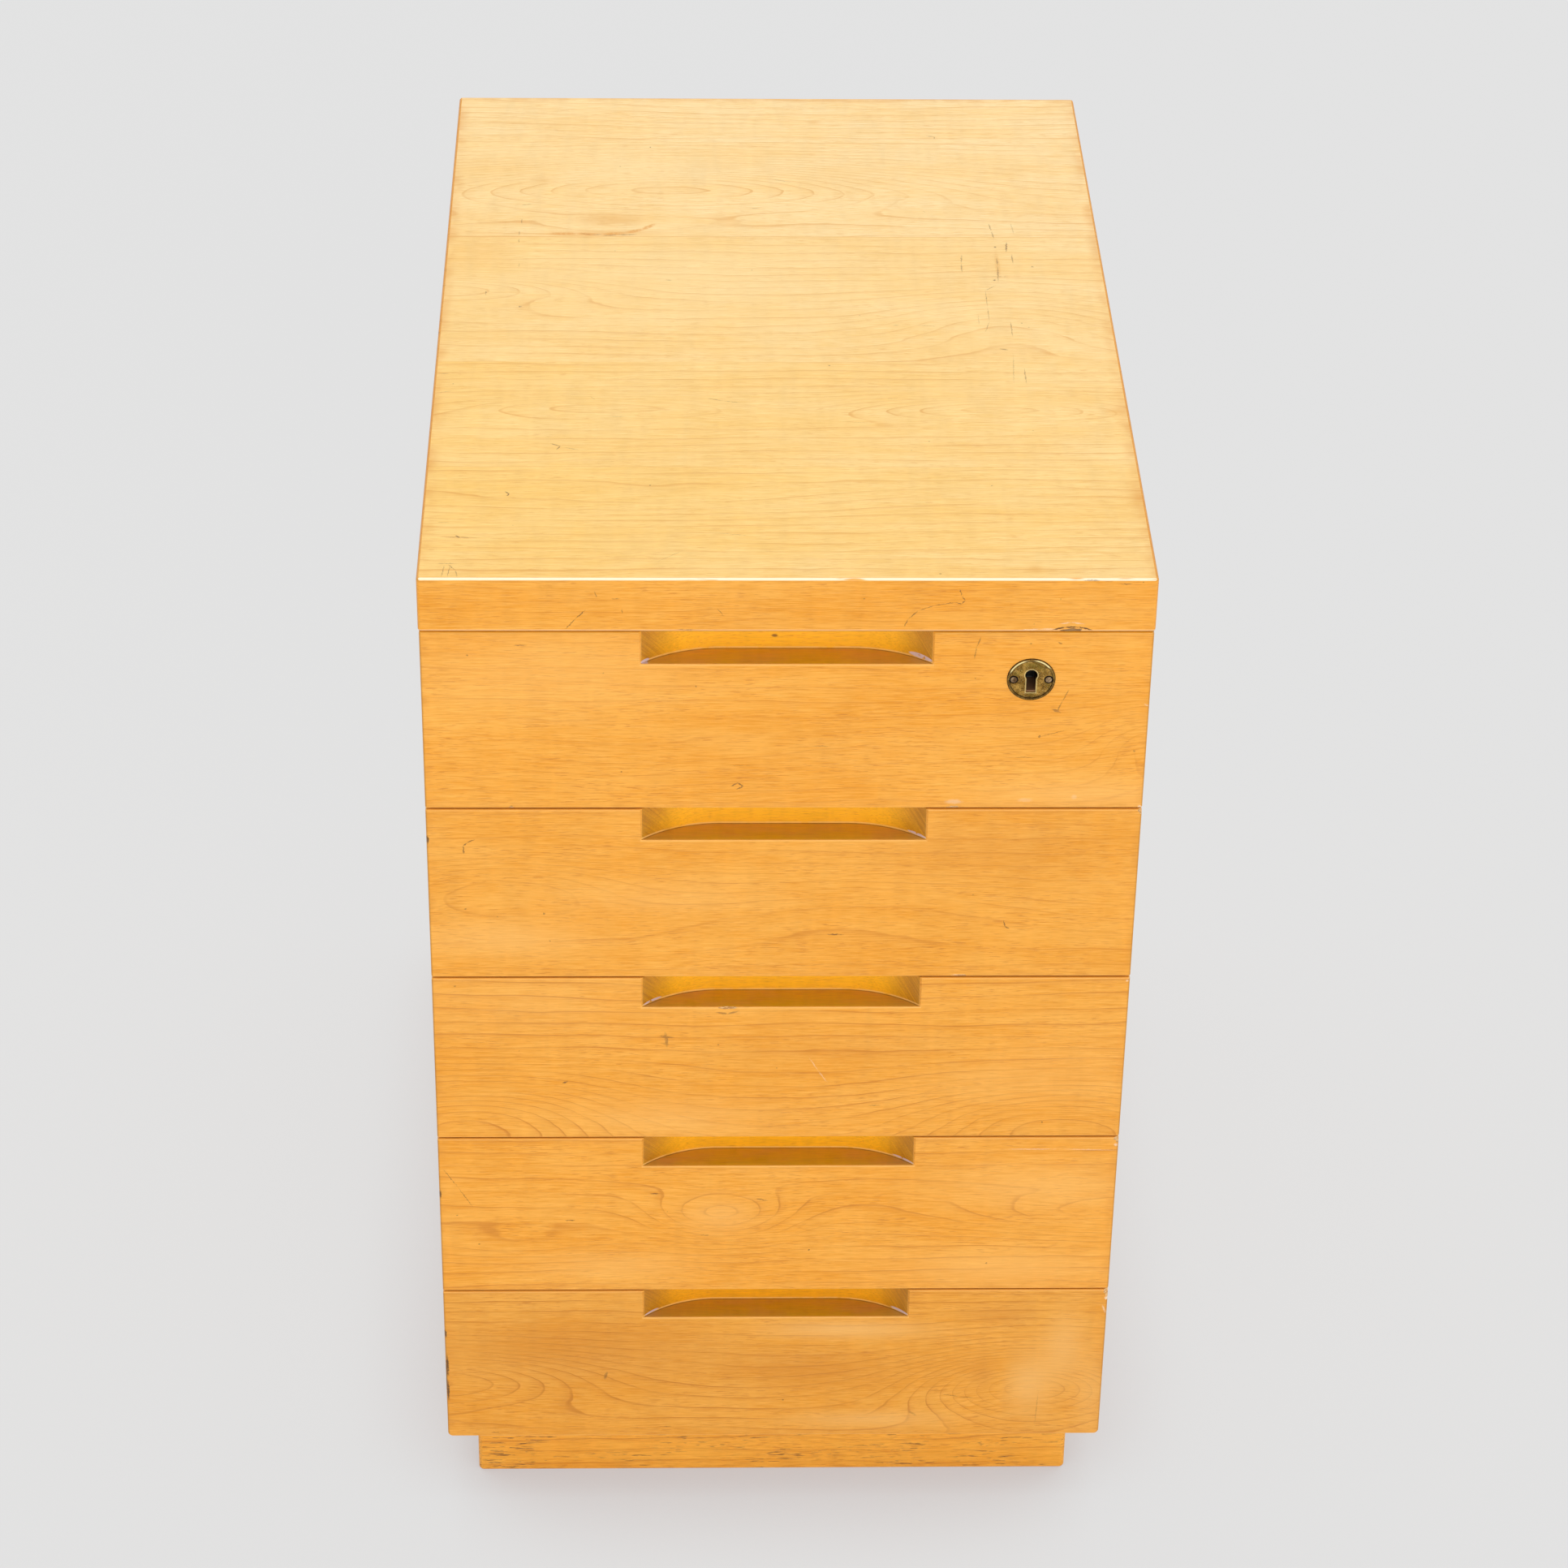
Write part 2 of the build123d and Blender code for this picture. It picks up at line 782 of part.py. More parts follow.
def lock_case():
    """Shallow case between the back plate and the wood, open at the top for the bolt."""
    case_top = lock_top - lock_plate_thickness
    half = lock_case_width / 2
    case = block((lock_x - half, lock_x + half), (case_front_y, plate_front_y), (case_bottom, case_top))
    case -= block(
        (lock_x - half + lock_case_wall, lock_x + half - lock_case_wall),
        (case_front_y + lock_case_wall, plate_front_y),
        (case_bottom + lock_case_wall, case_top),
    )
    return case - keyhole_cutter((case_front_y, case_front_y + lock_case_wall), keyhole_drop)


def lock_bolt():
    """Flat bolt with a notch in its lower edge that the key catches."""
    bolt = block(
        (lock_x - bolt_width / 2, lock_x + bolt_width / 2),
        (bolt_front_y, bolt_rear_y),
        (bolt_top - bolt_height, bolt_top),
    )
    return bolt - block(
        (lock_x - bolt_notch_width / 2, lock_x + bolt_notch_width / 2),
        (bolt_front_y, bolt_rear_y),
        (bolt_top - bolt_height, bolt_top - bolt_height + bolt_notch_height),
    )


def lock_lever():
    """Flat lever over the bolt, with a rounded tail round its pivot."""
    half = lever_height / 2
    y_span = (lever_rear_y - lever_thickness, lever_rear_y)
    lever = block(
        (lever_pivot_x, lever_pivot_x + lever_reach),
        y_span,
        (lever_z - half, lever_z + half),
    )
    lever += disc(half, y_span, lever_pivot_x, lever_z)
    return lever - disc(lever_post_diameter / 2 + joint_fit, y_span, lever_pivot_x, lever_z)


def lock_lever_spring():
    """Leaf spring on top of the lever, drawn as the lifted lever presses it."""
    y_span = (lever_rear_y - lever_thickness, lever_rear_y)
    leaf = block(
        (0, spring_length),
        y_span,
        (0, spring_thickness),
    )
    foot = block((-lever_height / 2, 0), y_span, (0, spring_thickness))
    leaf = Rot(0, -spring_slope, 0) * leaf + foot
    return Pos(lever_pivot_x + lever_height, 0, lever_z + lever_height / 2) * leaf


def strike_plate():
    plate = block(
        (lock_x - strike_width / 2, lock_x + strike_width / 2),
        (strike_y - strike_depth / 2, strike_y + strike_depth / 2),
        (under_top, under_top + strike_thickness),
    )
    plate -= block(
        (lock_x - bolt_width / 2 - strike_slot_spare, lock_x + bolt_width / 2 + strike_slot_spare),
        (bolt_front_y - strike_slot_spare, bolt_rear_y + strike_slot_spare),
        (under_top, under_top + strike_thickness),
    )
    return cut_screws(plate, strike_screw, strike_screw_places(), (0, 0, 1))


def all_parts():
    """Every node by name."""
    parts = {
        "top_panel": top_panel(),
        "side_panel_right": side_panel_right(),
        "bottom_panel": bottom_panel(),
        "back_panel": back_panel(),
        "carcass_dowels": carcass_dowels(),
        "back_panel_screws": Compound(
            children=screw_group(back_screw, back_screw_places(), (0, -1, 0))
        ),
        "plinth_front": plinth_front_board(),
        "plinth_back": plinth_back_board(),
        "plinth_right": plinth_right_board(),
        "plinth_corner_blocks": plinth_corner_blocks(),
        "plinth_screws": Compound(
            children=screw_group(plinth_screw, plinth_screw_places(), (0, 0, 1))
        ),
        "runner_screws": runner_screws(),
        "strike_plate": strike_plate(),
        "strike_screws": Compound(
            children=screw_group(strike_screw, strike_screw_places(), (0, 0, 1))
        ),
        "escutcheon": escutcheon(),
        "escutcheon_screws": escutcheon_screws(),
        "lock_back_plate": lock_back_plate(),
        "lock_case": lock_case(),
        "lock_bolt": lock_bolt(),
        "lock_lever": lock_lever(),
        "lock_lever_spring": lock_lever_spring(),
        "lock_screws": Compound(children=screw_group(lock_screw, lock_screw_places(), (0, -1, 0))),
    }
    parts["side_panel_left"] = mirrored(parts["side_panel_right"])
    parts["plinth_left"] = mirrored(parts["plinth_right"])
    for number in drawer_numbers():
        right_runner = runner_right(number)
        right_side = drawer_side_right(number)
        parts[f"runner_right_{number}"] = right_runner
        parts[f"runner_left_{number}"] = mirrored(right_runner)
        parts[f"drawer_{number}_front"] = drawer_front(number)
        parts[f"drawer_{number}_side_right"] = right_side
        parts[f"drawer_{number}_side_left"] = mirrored(right_side)
        parts[f"drawer_{number}_back"] = drawer_back(number)
        parts[f"drawer_{number}_bottom"] = drawer_bottom(number)
    return parts


os.makedirs("parts", exist_ok=True)
for name, part in all_parts().items():
    export_step(part, f"parts/{name}.step")
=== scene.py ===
from collections import namedtuple
from math import cos, radians, sin, sqrt

import bmesh
import bpy
from mathutils import Matrix, Vector
from mathutils import noise as space_noise


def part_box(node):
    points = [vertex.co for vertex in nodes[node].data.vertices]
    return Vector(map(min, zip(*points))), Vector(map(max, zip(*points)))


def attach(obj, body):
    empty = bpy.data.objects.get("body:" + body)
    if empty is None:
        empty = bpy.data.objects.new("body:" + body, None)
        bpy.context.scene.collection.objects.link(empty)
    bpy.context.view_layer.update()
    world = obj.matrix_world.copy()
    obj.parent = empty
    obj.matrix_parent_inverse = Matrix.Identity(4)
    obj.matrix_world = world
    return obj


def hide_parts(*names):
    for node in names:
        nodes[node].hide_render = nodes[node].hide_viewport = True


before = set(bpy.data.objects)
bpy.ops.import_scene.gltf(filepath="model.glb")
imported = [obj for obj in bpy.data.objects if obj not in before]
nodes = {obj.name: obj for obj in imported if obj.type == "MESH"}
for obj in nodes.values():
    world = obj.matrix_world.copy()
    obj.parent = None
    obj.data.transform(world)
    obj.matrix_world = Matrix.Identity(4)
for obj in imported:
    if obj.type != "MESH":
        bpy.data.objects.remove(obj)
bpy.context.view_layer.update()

# Metres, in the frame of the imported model. Materials work in millimetres, on object coordinates.
MILLI = 0.001
PER_METRE = 1000.0


def corners(node):
    """Lowest and highest corner of a node at rest, in millimetres."""
    return [corner * PER_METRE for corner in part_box(node)]


drawer_numbers = range(1, 6)
top_low, top_high = corners("top_panel")
fronts = {number: corners(f"drawer_{number}_front") for number in drawer_numbers}
plate_low, plate_high = corners("escutcheon")
plate_middle = (plate_low + plate_high) / 2
plate_radius = (plate_high.x - plate_low.x) / 2

# Roundings and the finger pull, as they are cut in the wood
top_round = 1.5
front_round = 1.0
pull_half_width = 76.25
pull_height = 19.5
pull_depth = 18.0
pull_floor_fall = 1.2
pull_cutter_radius = 60.0
plate_rim = 1.4
plate_screw_offset = 9.1
key_above_centre = 2.6
keyhole_radius = 3.2
keyhole_slot_half = 2.45
keyhole_drop = 10.4
keyhole_reach = 9.5
plate_screw_radius = 2.0
lock_drawer = 1
knot_drawer = 1

# A hill in the growth rings: its middle along and across the board, its two radii, and its height in
# rings. The same form says where the wood is paler, above zero, or deeper in colour, below zero.
Hill = namedtuple("Hill", "along across length width rings")

# Marks on a surface are kept by how strongly they show. Each is a width and the places it runs through.
barely = 0.2
faint = 0.35
plain = 0.6
strong = 0.9
deep = 1.5

# A gouge: its middle and its three radii
Gouge = namedtuple("Gouge", "middle radii")

# Colours are screen values from 0 to 255
BirchTone = namedtuple("BirchTone", "pale deep line")
front_tone = BirchTone((251, 181, 75), (239, 154, 18), (204, 122, 16))
# The top's tones are paler than the fronts', partly as a painted sheen
top_warm_tone = BirchTone((249, 207, 122), (243, 190, 85), (223, 158, 60))
top_pale_tone = BirchTone((250, 222, 167), (246, 203, 127), (227, 170, 90))
side_tone = BirchTone((250, 184, 86), (238, 160, 52), (214, 134, 38))
plinth_tone = BirchTone((254, 185, 68), (236, 154, 28), (196, 116, 20))
box_tone = BirchTone((246, 210, 150), (232, 186, 118), (208, 156, 88))
bare_tone = BirchTone((238, 206, 154), (220, 180, 120), (192, 148, 92))
veneer_tone = BirchTone((236, 200, 144), (218, 174, 112), (190, 142, 84))
dark_mark = (116, 74, 22)
soft_mark = (222, 146, 36)
pale_mark = (250, 226, 196)
toasted_edge = (216, 140, 40)
edge_shade_colour = (168, 112, 26)
gap_shade_colour = (110, 68, 16)
gap_shade_dark = (58, 32, 8)
under_top_colour = (226, 158, 8)
strip_rim_colour = (255, 206, 150)
end_grain_colour = (214, 140, 58)
edge_highlight_and_wear_colour = (255, 243, 208)
pull_ledge_colour = (216, 170, 0)
pull_rim_highlight_colour = (255, 196, 98)
pull_ledge_pale_colour = (208, 150, 74)
pull_arch_highlight_colour = (255, 204, 118)
pull_end_shade_colour = (184, 120, 20)
filler_colour = (216, 198, 206)
glow_colour = (254, 195, 110)
keyhole_lit_colour = (150, 104, 66)
raw_wood_pale = (248, 208, 148)
raw_wood_deep = (196, 136, 66)

# Chips further to the left than this are dark with dirt, and the one around the top's lower edge is darkened
# as painted shade
dirty_chips_end = -185.0
shaded_chip_heights = (-0.5, 5.0)

# Where the painted shade in the gap on a front's upper edge begins and ends, measured back from its face
gap_shade_begins = (0.9, 1.1)
gap_shade_ends = (4.0, 2.6)
upper_face_depth = 0.05

# In the keyhole, painted dark as shade: where its wall begins, back from the face, and the heights between
# which painted light falls in
keyhole_wall_depth = 0.1
keyhole_lit_heights = (-4.0, -6.5)
keyhole_dark = (30, 18, 8)

fibre_bend = 1.2  # how far the fibres follow the growth rings
top_edge_shade = 0.985  # the edges of the top, against a front
strip_depth = 0.8  # how far back the front edge of the top carries its marks
# The top is painted paler towards the right as a sheen
sheen_per_millimetre = 0.0007  # the top, towards the right

# What moves the pattern from one glued board to the next
board_shift_along = 173.0
board_shift_deep = 61.0
board_shift_rings = 0.37
beyond_boards = 1000.0

ply_count = 5.0
box_hills = [Hill(-80, 300, 160, 60, 3.0), Hill(120, 120, 140, 50, 3.0)]


class Signal:
    """An output of a node that can be added, multiplied and compared like a number."""

    def __init__(self, graph, socket):
        self.graph = graph
        self.socket = socket

    def math(self, operation, *others):
        return self.graph.math(operation, self, *others)

    def __add__(self, other):
        return self.math("ADD", other)

    def __sub__(self, other):
        return self.math("SUBTRACT", other)

    def __mul__(self, other):
        return self.math("MULTIPLY", other)

    def __truediv__(self, other):
        return self.math("DIVIDE", other)

    def __rsub__(self, other):
        return self.graph.math("SUBTRACT", other, self)

    def above(self, level):
        return self.math("GREATER_THAN", level)

    def below(self, level):
        return self.math("LESS_THAN", level)

    def between(self, low, high):
        return self.above(low) * self.below(high)

    def size(self):
        return self.math("ABSOLUTE")

    def fraction(self):
        return self.math("FRACT")

    def at_most(self, other):
        return self.math("MINIMUM", other)

    def at_least(self, other):
        return self.math("MAXIMUM", other)

    def ramp(self, low, high):
        """0 below low, 1 above high, smooth between them; falls instead where low is above high."""
        if low > high:
            return 1.0 - self.ramp(high, low)
        inputs = {0: self, 1: low, 2: high}
        return self.graph.signal("MapRange", 0, inputs, interpolation_type="SMOOTHSTEP")


class Graph:
    """The node tree of a material or of the world, with short calls for the nodes used in this script."""

    def __init__(self, owner):
        owner.use_nodes = True
        self.owner = owner
        self.tree = owner.node_tree
        self.tree.nodes.clear()

    def node(self, kind, inputs=None, **settings):
        made = self.tree.nodes.new("ShaderNode" + kind)
        for name, value in settings.items():
            setattr(made, name, value)
        for name, value in (inputs or {}).items():
            if isinstance(value, Signal):
                self.tree.links.new(value.socket, made.inputs[name])
            else:
                made.inputs[name].default_value = value
        return made

    def signal(self, kind, output, inputs=None, **settings):
        return Signal(self, self.node(kind, inputs, **settings).outputs[output])

    def math(self, operation, *values):
        return self.signal("Math", 0, dict(enumerate(values)), operation=operation)

    def vector_math(self, operation, *vectors, scale=None):
        inputs = dict(enumerate(vectors))
        if scale is not None:
            inputs["Scale"] = scale
        output = "Value" if operation in ("DOT_PRODUCT", "LENGTH", "DISTANCE") else "Vector"
        return self.signal("VectorMath", output, inputs, operation=operation)

    def vector(self, x, y, z=0.0):
        return self.signal("CombineXYZ", 0, {0: x, 1: y, 2: z})

    def axes(self, vector):
        return [Signal(self, socket) for socket in self.node("SeparateXYZ", {0: vector}).outputs]

    def mound(self, flat, hill):
        """1 at the middle of a hill on a flat place, falling smoothly to 0 around it."""
        scale = (1.0 / hill.length, 1.0 / hill.width, 0.0)
        shift = (-hill.along / hill.length, -hill.across / hill.width, 0.0)
        away = self.vector_math("MULTIPLY_ADD", flat, scale, shift)
        return (self.vector_math("DOT_PRODUCT", away, away) * -1.0).math("EXPONENT")

    def mounds(self, flat, hills):
        """The hills added up, each times its own height."""
        total = self.mound(flat, hills[0]) * hills[0].rings
        for hill in hills[1:]:
            total = total + self.mound(flat, hill) * hill.rings
        return total

    def mix(self, amount, first, second):
        """A colour between two, each a Signal or a colour as it shows on a screen."""
        inputs = {0: amount, 6: shown_colour(first), 7: shown_colour(second)}
        return self.signal("Mix", 2, inputs, data_type="RGBA")


class Surface(Graph):
    """A new material: the place on it in millimetres, its seed, and the colour laid on it so far."""

    def __init__(self, name, seed=0.0):
        super().__init__(bpy.data.materials.new(name))
        self.seed = seed
        self.colour = None
        self.place = self.vector_math("SCALE", self.signal("TexCoord", "Object"), scale=PER_METRE)
        self.x, self.y, self.z = self.axes(self.place)

    def grain(self, order):
        """The place with its axes turned to along, across and depth of the board."""
        return self.vector(*[getattr(self, axis) for axis in order])

    def noise(self, place, sizes, step=0.0, detail=2.0, roughness=0.5, distortion=0.0):
        """Noise from 0 to 1 whose blobs measure about the sizes given in millimetres.

        The seed sets a surface apart from the others, and the step a pattern from the others on it.
        """
        seed = self.seed + step
        scale = [1.0 / size for size in sizes]
        shift = (seed, 1.7 * seed, 2.3 * seed)
        inputs = {
            "Vector": self.vector_math("MULTIPLY_ADD", place, scale, shift),
            "Scale": 1.0,
            "Detail": detail,
            "Roughness": roughness,
            "Distortion": distortion,
        }
        return self.signal("TexNoise", "Fac", inputs)

    def lay(self, amount, colour):
        """Mix a colour over the colour so far."""
        self.colour = self.mix(amount, self.colour, colour)

    def brighten(self, amount):
        """Multiply the colour so far."""
        self.colour = self.vector_math("SCALE", self.colour, scale=amount)

    def finish(self, roughness, height, bump_distance=0.1, metallic=0.0):
        """Close the material with the main shader. A height of 1 is the bump's distance in millimetres."""
        bump = {"Height": height, "Strength": 1.0, "Distance": bump_distance * MILLI}
        inputs = {
            "Base Color": self.colour,
            "Roughness": roughness,
            "Metallic": metallic,
            "Normal": self.signal("Bump", 0, bump),
        }
        self.node("OutputMaterial", {0: self.signal("BsdfPrincipled", 0, inputs)})
        return self.owner


def linear(value):
    """A screen value from 0 to 255 as linear light from 0 to 1."""
    share = value / 255.0
    if share <= 0.04045:
        return share / 12.92
    return ((share + 0.055) / 1.055) ** 2.4


def shown_colour(colour):
    """What a colour socket takes for a colour as it shows on a screen."""
    if isinstance(colour, Signal):
        return colour
    return (*[linear(value) for value in colour], 1.0)


def ring_field(graph, place, spacing, slant, wander):
    """Growth rings across a board: whole numbers of this ramp are the lines between two years."""
    across, depth = graph.axes(place)[1:]
    slow = graph.noise(place, (150, 36, 60), detail=1.0)
    quick = graph.noise(place, (34, 9, 20), 4.0)
    return (across + depth * slant) / spacing + slow * wander + quick * (wander * 0.16 + 0.1)


def birch_surface(graph, place, field, tone, lines):
    """Lay the colour of lacquered birch, before marks and wear, and return its height."""
    along, across, depth = graph.axes(place)
    fibre_place = graph.vector(along, across + field * fibre_bend, depth)
    phase = field.fraction()
    late = phase.ramp(0.5, 0.94) * phase.ramp(1.0, 0.96)
    crisp = phase.ramp(0.86, 0.94) * phase.ramp(1.0, 0.96)
    fade = graph.noise(place, (80, 12, 40), 9.0).ramp(0.34, 0.66)
    ring_line = (late * 0.3 + crisp * 0.7) * (fade * 0.75 + 0.25)
    cloud = graph.noise(place, (110, 24, 60), 1.0, detail=3.0).ramp(0.28, 0.72)
    paler = graph.noise(place, (70, 16, 40), 6.0).ramp(0.48, 0.8)
    fibre = graph.noise(fibre_place, (15, 0.7, 0.7), 2.0, detail=3.0, roughness=0.62)
    flecks = graph.noise(fibre_place, (7.0, 0.55, 0.55), 3.0, detail=1.0).ramp(0.56, 0.7)
    fleck_zone = graph.noise(place, (55, 9, 30), 7.0).ramp(0.3, 0.7)
    silk = graph.noise(place, (9, 40, 30), 5.0, detail=1.0, distortion=0.5)
    flecks = flecks * (fleck_zone * 0.7 + 0.3)
    share = cloud * 0.4 + fibre * 2.2 - 0.82
    graph.colour = graph.mix(share, tone.deep, tone.pale)
    graph.lay(paler * 0.45, tone.pale)
    graph.lay(ring_line * (0.72 * lines), tone.line)
    graph.lay(flecks * 0.62, tone.line)
    graph.brighten((fibre - 0.5) * 0.16 + (silk - 0.5) * 0.12 + 1.0)
    return fibre * 0.35 - flecks * 0.3 - ring_line * 0.15


def lacquer(graph):
    """Roughness of old lacquer: dull where hands and dust have worn it."""
    return graph.noise(graph.place, (60, 60, 60), 20.0, detail=3.0) * 0.2 + 0.32


def toast(graph, inward, reach, blobs, share, patches_from=0.35):
    """Deepen the colour in patches near an edge, where old lacquer turns dark."""
    patchy = graph.noise(graph.place, blobs, 2.0, detail=3.0).ramp(patches_from, 0.7)
    graph.lay(inward.ramp(*reach) * patchy * share, toasted_edge)


def outside_stroke(graph, flat, start, end, width):
    """How far a place lies from the middle of a lens-shaped stroke, as a share of its half size."""
    run = Vector(end) - Vector(start)
    middle = (Vector(start) + Vector(end)) / 2
    half_length = (run.length + width) / 2
    half_width = width / 2
    if run.x and run.y:
        along = run.normalized()
        long_axis = (along.x / half_length, along.y / half_length, 0.0)
        short_axis = (-along.y / half_width, along.x / half_width, 0.0)
        turned = [graph.vector_math("DOT_PRODUCT", flat, axis) for axis in (long_axis, short_axis)]
        centre = [middle.x * axis[0] + middle.y * axis[1] for axis in (long_axis, short_axis)]
        return graph.vector_math("DISTANCE", graph.vector(*turned), (*centre, 0.0))
    half_x = half_length if run.x else half_width
    half_y = half_length if run.y else half_width
    scale = (1.0 / half_x, 1.0 / half_y, 0.0)
    shift = (-middle.x / half_x, -middle.y / half_y, 0.0)
    return graph.vector_math("LENGTH", graph.vector_math("MULTIPLY_ADD", flat, scale, shift))


def strokes_mask(graph, flat, strokes):
    """1 on the strokes, and 0 away from them. A stroke with one place is a dot."""
    nearest = None
    for width, *places in strokes:
        for start, end in zip(places, places[1:] or places):
            outside = outside_stroke(graph, flat, start, end, width)
            nearest = outside if nearest is None else nearest.at_most(outside)
    return nearest.ramp(1.15, 0.4)


def marks_mask(graph, flat, marks, step=0.0):
    """All the marks of one kind on a surface, with ragged and broken sides."""
    shake = graph.signal("TexNoise", "Color", {"Vector": flat, "Scale": 0.8, "Detail": 3.0})
    shaken = graph.vector_math("MULTIPLY_ADD", shake, (1.6, 1.1, 0.0), (-0.8, -0.55, 0.0))
    ragged = graph.vector_math("ADD", flat, shaken)
    total = None
    for strength, strokes in marks.items():
        mask = strokes_mask(graph, ragged, strokes) * strength
        total = mask if total is None else total.at_least(mask)
    broken = graph.noise(flat, (2.0, 2.0, 2.0), step).ramp(0.32, 0.52)
    return total * (broken * 0.5 + 0.42)


# Drawer fronts. Places are along the front from its middle and up from its lower edge.
front_hills = {
    1: [Hill(196, 40, 30, 22, -4.4), Hill(-70, 30, 110, 22, 1.6)],
    2: [Hill(-150, 60, 70, 20, -4.0), Hill(40, 46, 120, 20, -2.4)],
    3: [Hill(-171, 10, 80, 33, -7.4), Hill(158, 7, 75, 31, -6.6)],
    4: [Hill(-31, 52, 40, 19, 5.2), Hill(204, 54, 92, 17, 4.0), Hill(-140, 34, 60, 12, 1.6)],
    5: [Hill(-200, 45, 95, 23, -8.0), Hill(150, 38, 64, 26, -12.0)],
}
front_glows = {
    1: [Hill(-120, 84, 70, 24, 0.35), Hill(160, 8, 60, 12, 0.5), Hill(10, 40, 90, 30, -0.1)],
    2: [Hill(-150, 26, 44, 12, 0.5), Hill(-70, 52, 60, 12, 0.3), Hill(110, 84, 60, 20, -0.3)],
    3: [
        Hill(-60, 14, 50, 14, 0.45), Hill(60, 60, 80, 14, -0.25), Hill(-140, 90, 70, 20, 0.25),
        Hill(140, 46, 70, 26, 0.3),
    ],
    4: [
        Hill(-32, 53, 20, 12, 0.5), Hill(-90, 18, 50, 12, 0.4), Hill(130, 14, 60, 14, 0.5),
        Hill(150, 74, 60, 18, 0.45),
    ],
    5: [
        Hill(40, 80, 46, 7, 0.9), Hill(56, 12, 40, 6, 0.7), Hill(147, 38, 13, 22, 0.8),
        Hill(129, 90, 24, 8, -0.4), Hill(120, 46, 11, 14, -0.3), Hill(166, 66, 12, 26, 0.7),
        Hill(-110, 66, 80, 26, -0.45), Hill(184, 30, 10, 30, 0.5), Hill(20, 50, 50, 14, -0.4),
    ],
}
front_dark_marks = {
    1: {
        faint: [
            (0.8, (-30, 27), (-17, 27)), (1.0, (-95, 84)), (0.7, (13, 39), (24, 39)),
            (0.7, (120, 32), (131, 32)),
        ],
        plain: [
            (0.9, (-141, 101), (-134, 101)), (1.3, (-165, 95)), (1.3, (-47, 76)), (1.6, (-144, 1)),
            (1.0, (-86, 23)), (0.8, (100, 106), (98, 100), (97, 93)), (1.0, (140, 103), (142, 102)),
            (1.2, (126, 102)), (0.9, (147, 74), (144, 67), (141, 60)), (0.6, (133, 45), (147, 49)),
            (1.2, (98, 81)), (1.6, (139, 62), (143, 60)),
        ],
        strong: [(1.0, (-28, 14), (-25, 16), (-22, 14), (-25, 12)), (1.6, (133, 45)), (1.5, (183, 36))],
    },
    2: {
        faint: [(1.2, (102, 54))],
        plain: [(1.3, (-170, 45)), (1.0, (-153, 40)), (1.5, (-128, 42)), (1.0, (-125, 24))],
        strong: [
            (0.8, (-164, 90), (-168, 88), (-170, 86), (-170, 81)), (0.8, (119, 37), (120, 33), (122, 32)),
            (1.1, (24, 28), (33, 28)),
        ],
        deep: [(1.4, (-188.8, 88), (-188.8, 92))],
    },
    3: {
        faint: [(1.4, (-65, 65), (-61, 64)), (1.0, (-143, 60))],
        plain: [
            (1.8, (-66, 70), (-59, 69)), (2.2, (-63, 72), (-62, 63)), (0.9, (-2, 48)), (1.4, (-177, 104)),
            (1.2, (-34, 64)), (0.7, (49, 22), (56, 22)), (1.4, (-35, 86), (-29, 85), (-23, 87)),
        ],
        strong: [(1.5, (-119, 38), (-117, 39)), (1.4, (146, 10))],
    },
    4: {
        faint: [(0.9, (-62, 57))],
        plain: [
            (0.7, (-187, 88), (-179, 75), (-171, 61)), (0.8, (-44, 40), (-38, 40)), (1.3, (-168, 34)),
            (1.2, (-180, 55)),
        ],
        strong: [
            (0.9, (-119, 51), (-114, 51)), (0.9, (-72, 70), (-66, 70)), (0.9, (-12, 66), (-6, 65)),
            (1.3, (18, 29)), (1.2, (119, 19)),
        ],
        deep: [(1.4, (-188.8, 68), (-188.8, 72))],
    },
    5: {
        faint: [(0.6, (153, 33), (152, 7)), (2.0, (78, 18), (82, 15))],
        plain: [
            (2.2, (-98, 44), (-97, 48)), (0.7, (-64, 7), (-60, 7)), (1.0, (-164, 3), (-160, 3)),
            (0.7, (97, 31), (107, 29), (116, 28)),
        ],
        strong: [(1.4, (5, 27))],
        deep: [
            (1.8, (-188.5, 62), (-188.4, 46)), (1.6, (-188.5, 43), (-188.5, 28)),
            (1.4, (-188.8, 80), (-188.8, 76)),
        ],
    },
}
front_pale_marks = {
    1: {
        barely: [(3.0, (124, 5), (130, 5)), (3.4, (153, 7))],
        faint: [(1.1, (187, 65), (189, 64)), (3.4, (86, 4), (93, 4))],
        plain: [(2.2, (188, 1))],
    },
    2: {faint: [(1.4, (92, 1), (100, 1))]},
    3: {faint: [(0.7, (16, 55), (21, 46), (26, 38))], plain: [(1.6, (188, 107))]},
    4: {faint: [(1.0, (126, 101), (158, 101), (190, 100))], plain: [(2.4, (188, 104))]},
    5: {plain: [(1.6, (187, 97), (189, 92))], strong: [(2.8, (189, 103))]},
}
# Painted shade: the lower fronts are made darker, as the light falls off towards the floor
front_painted_shades = {1: 1.0, 2: 0.98, 3: 0.98, 4: 0.99, 5: 0.915}
# Pull walls, painted brighter and deeper orange than the fronts: painted light bounced inside the recess
pull_wall_colours = {
    1: (255, 188, 34),
    2: (255, 187, 34),
    3: (255, 186, 28),
    4: (255, 184, 22),
    5: (255, 178, 18),
}
# Painted shade on the pulls, darker lower down for the same reason
pull_painted_shades = {1: 1.0, 2: 0.985, 3: 0.97, 4: 0.96, 5: 0.9}
front_ring_spacing = {1: 9.0, 2: 9.0, 3: 10.0, 4: 9.5, 5: 8.0}
front_ring_lines = {1: 0.45, 2: 0.6, 3: 1.05, 4: 0.9, 5: 1.1}


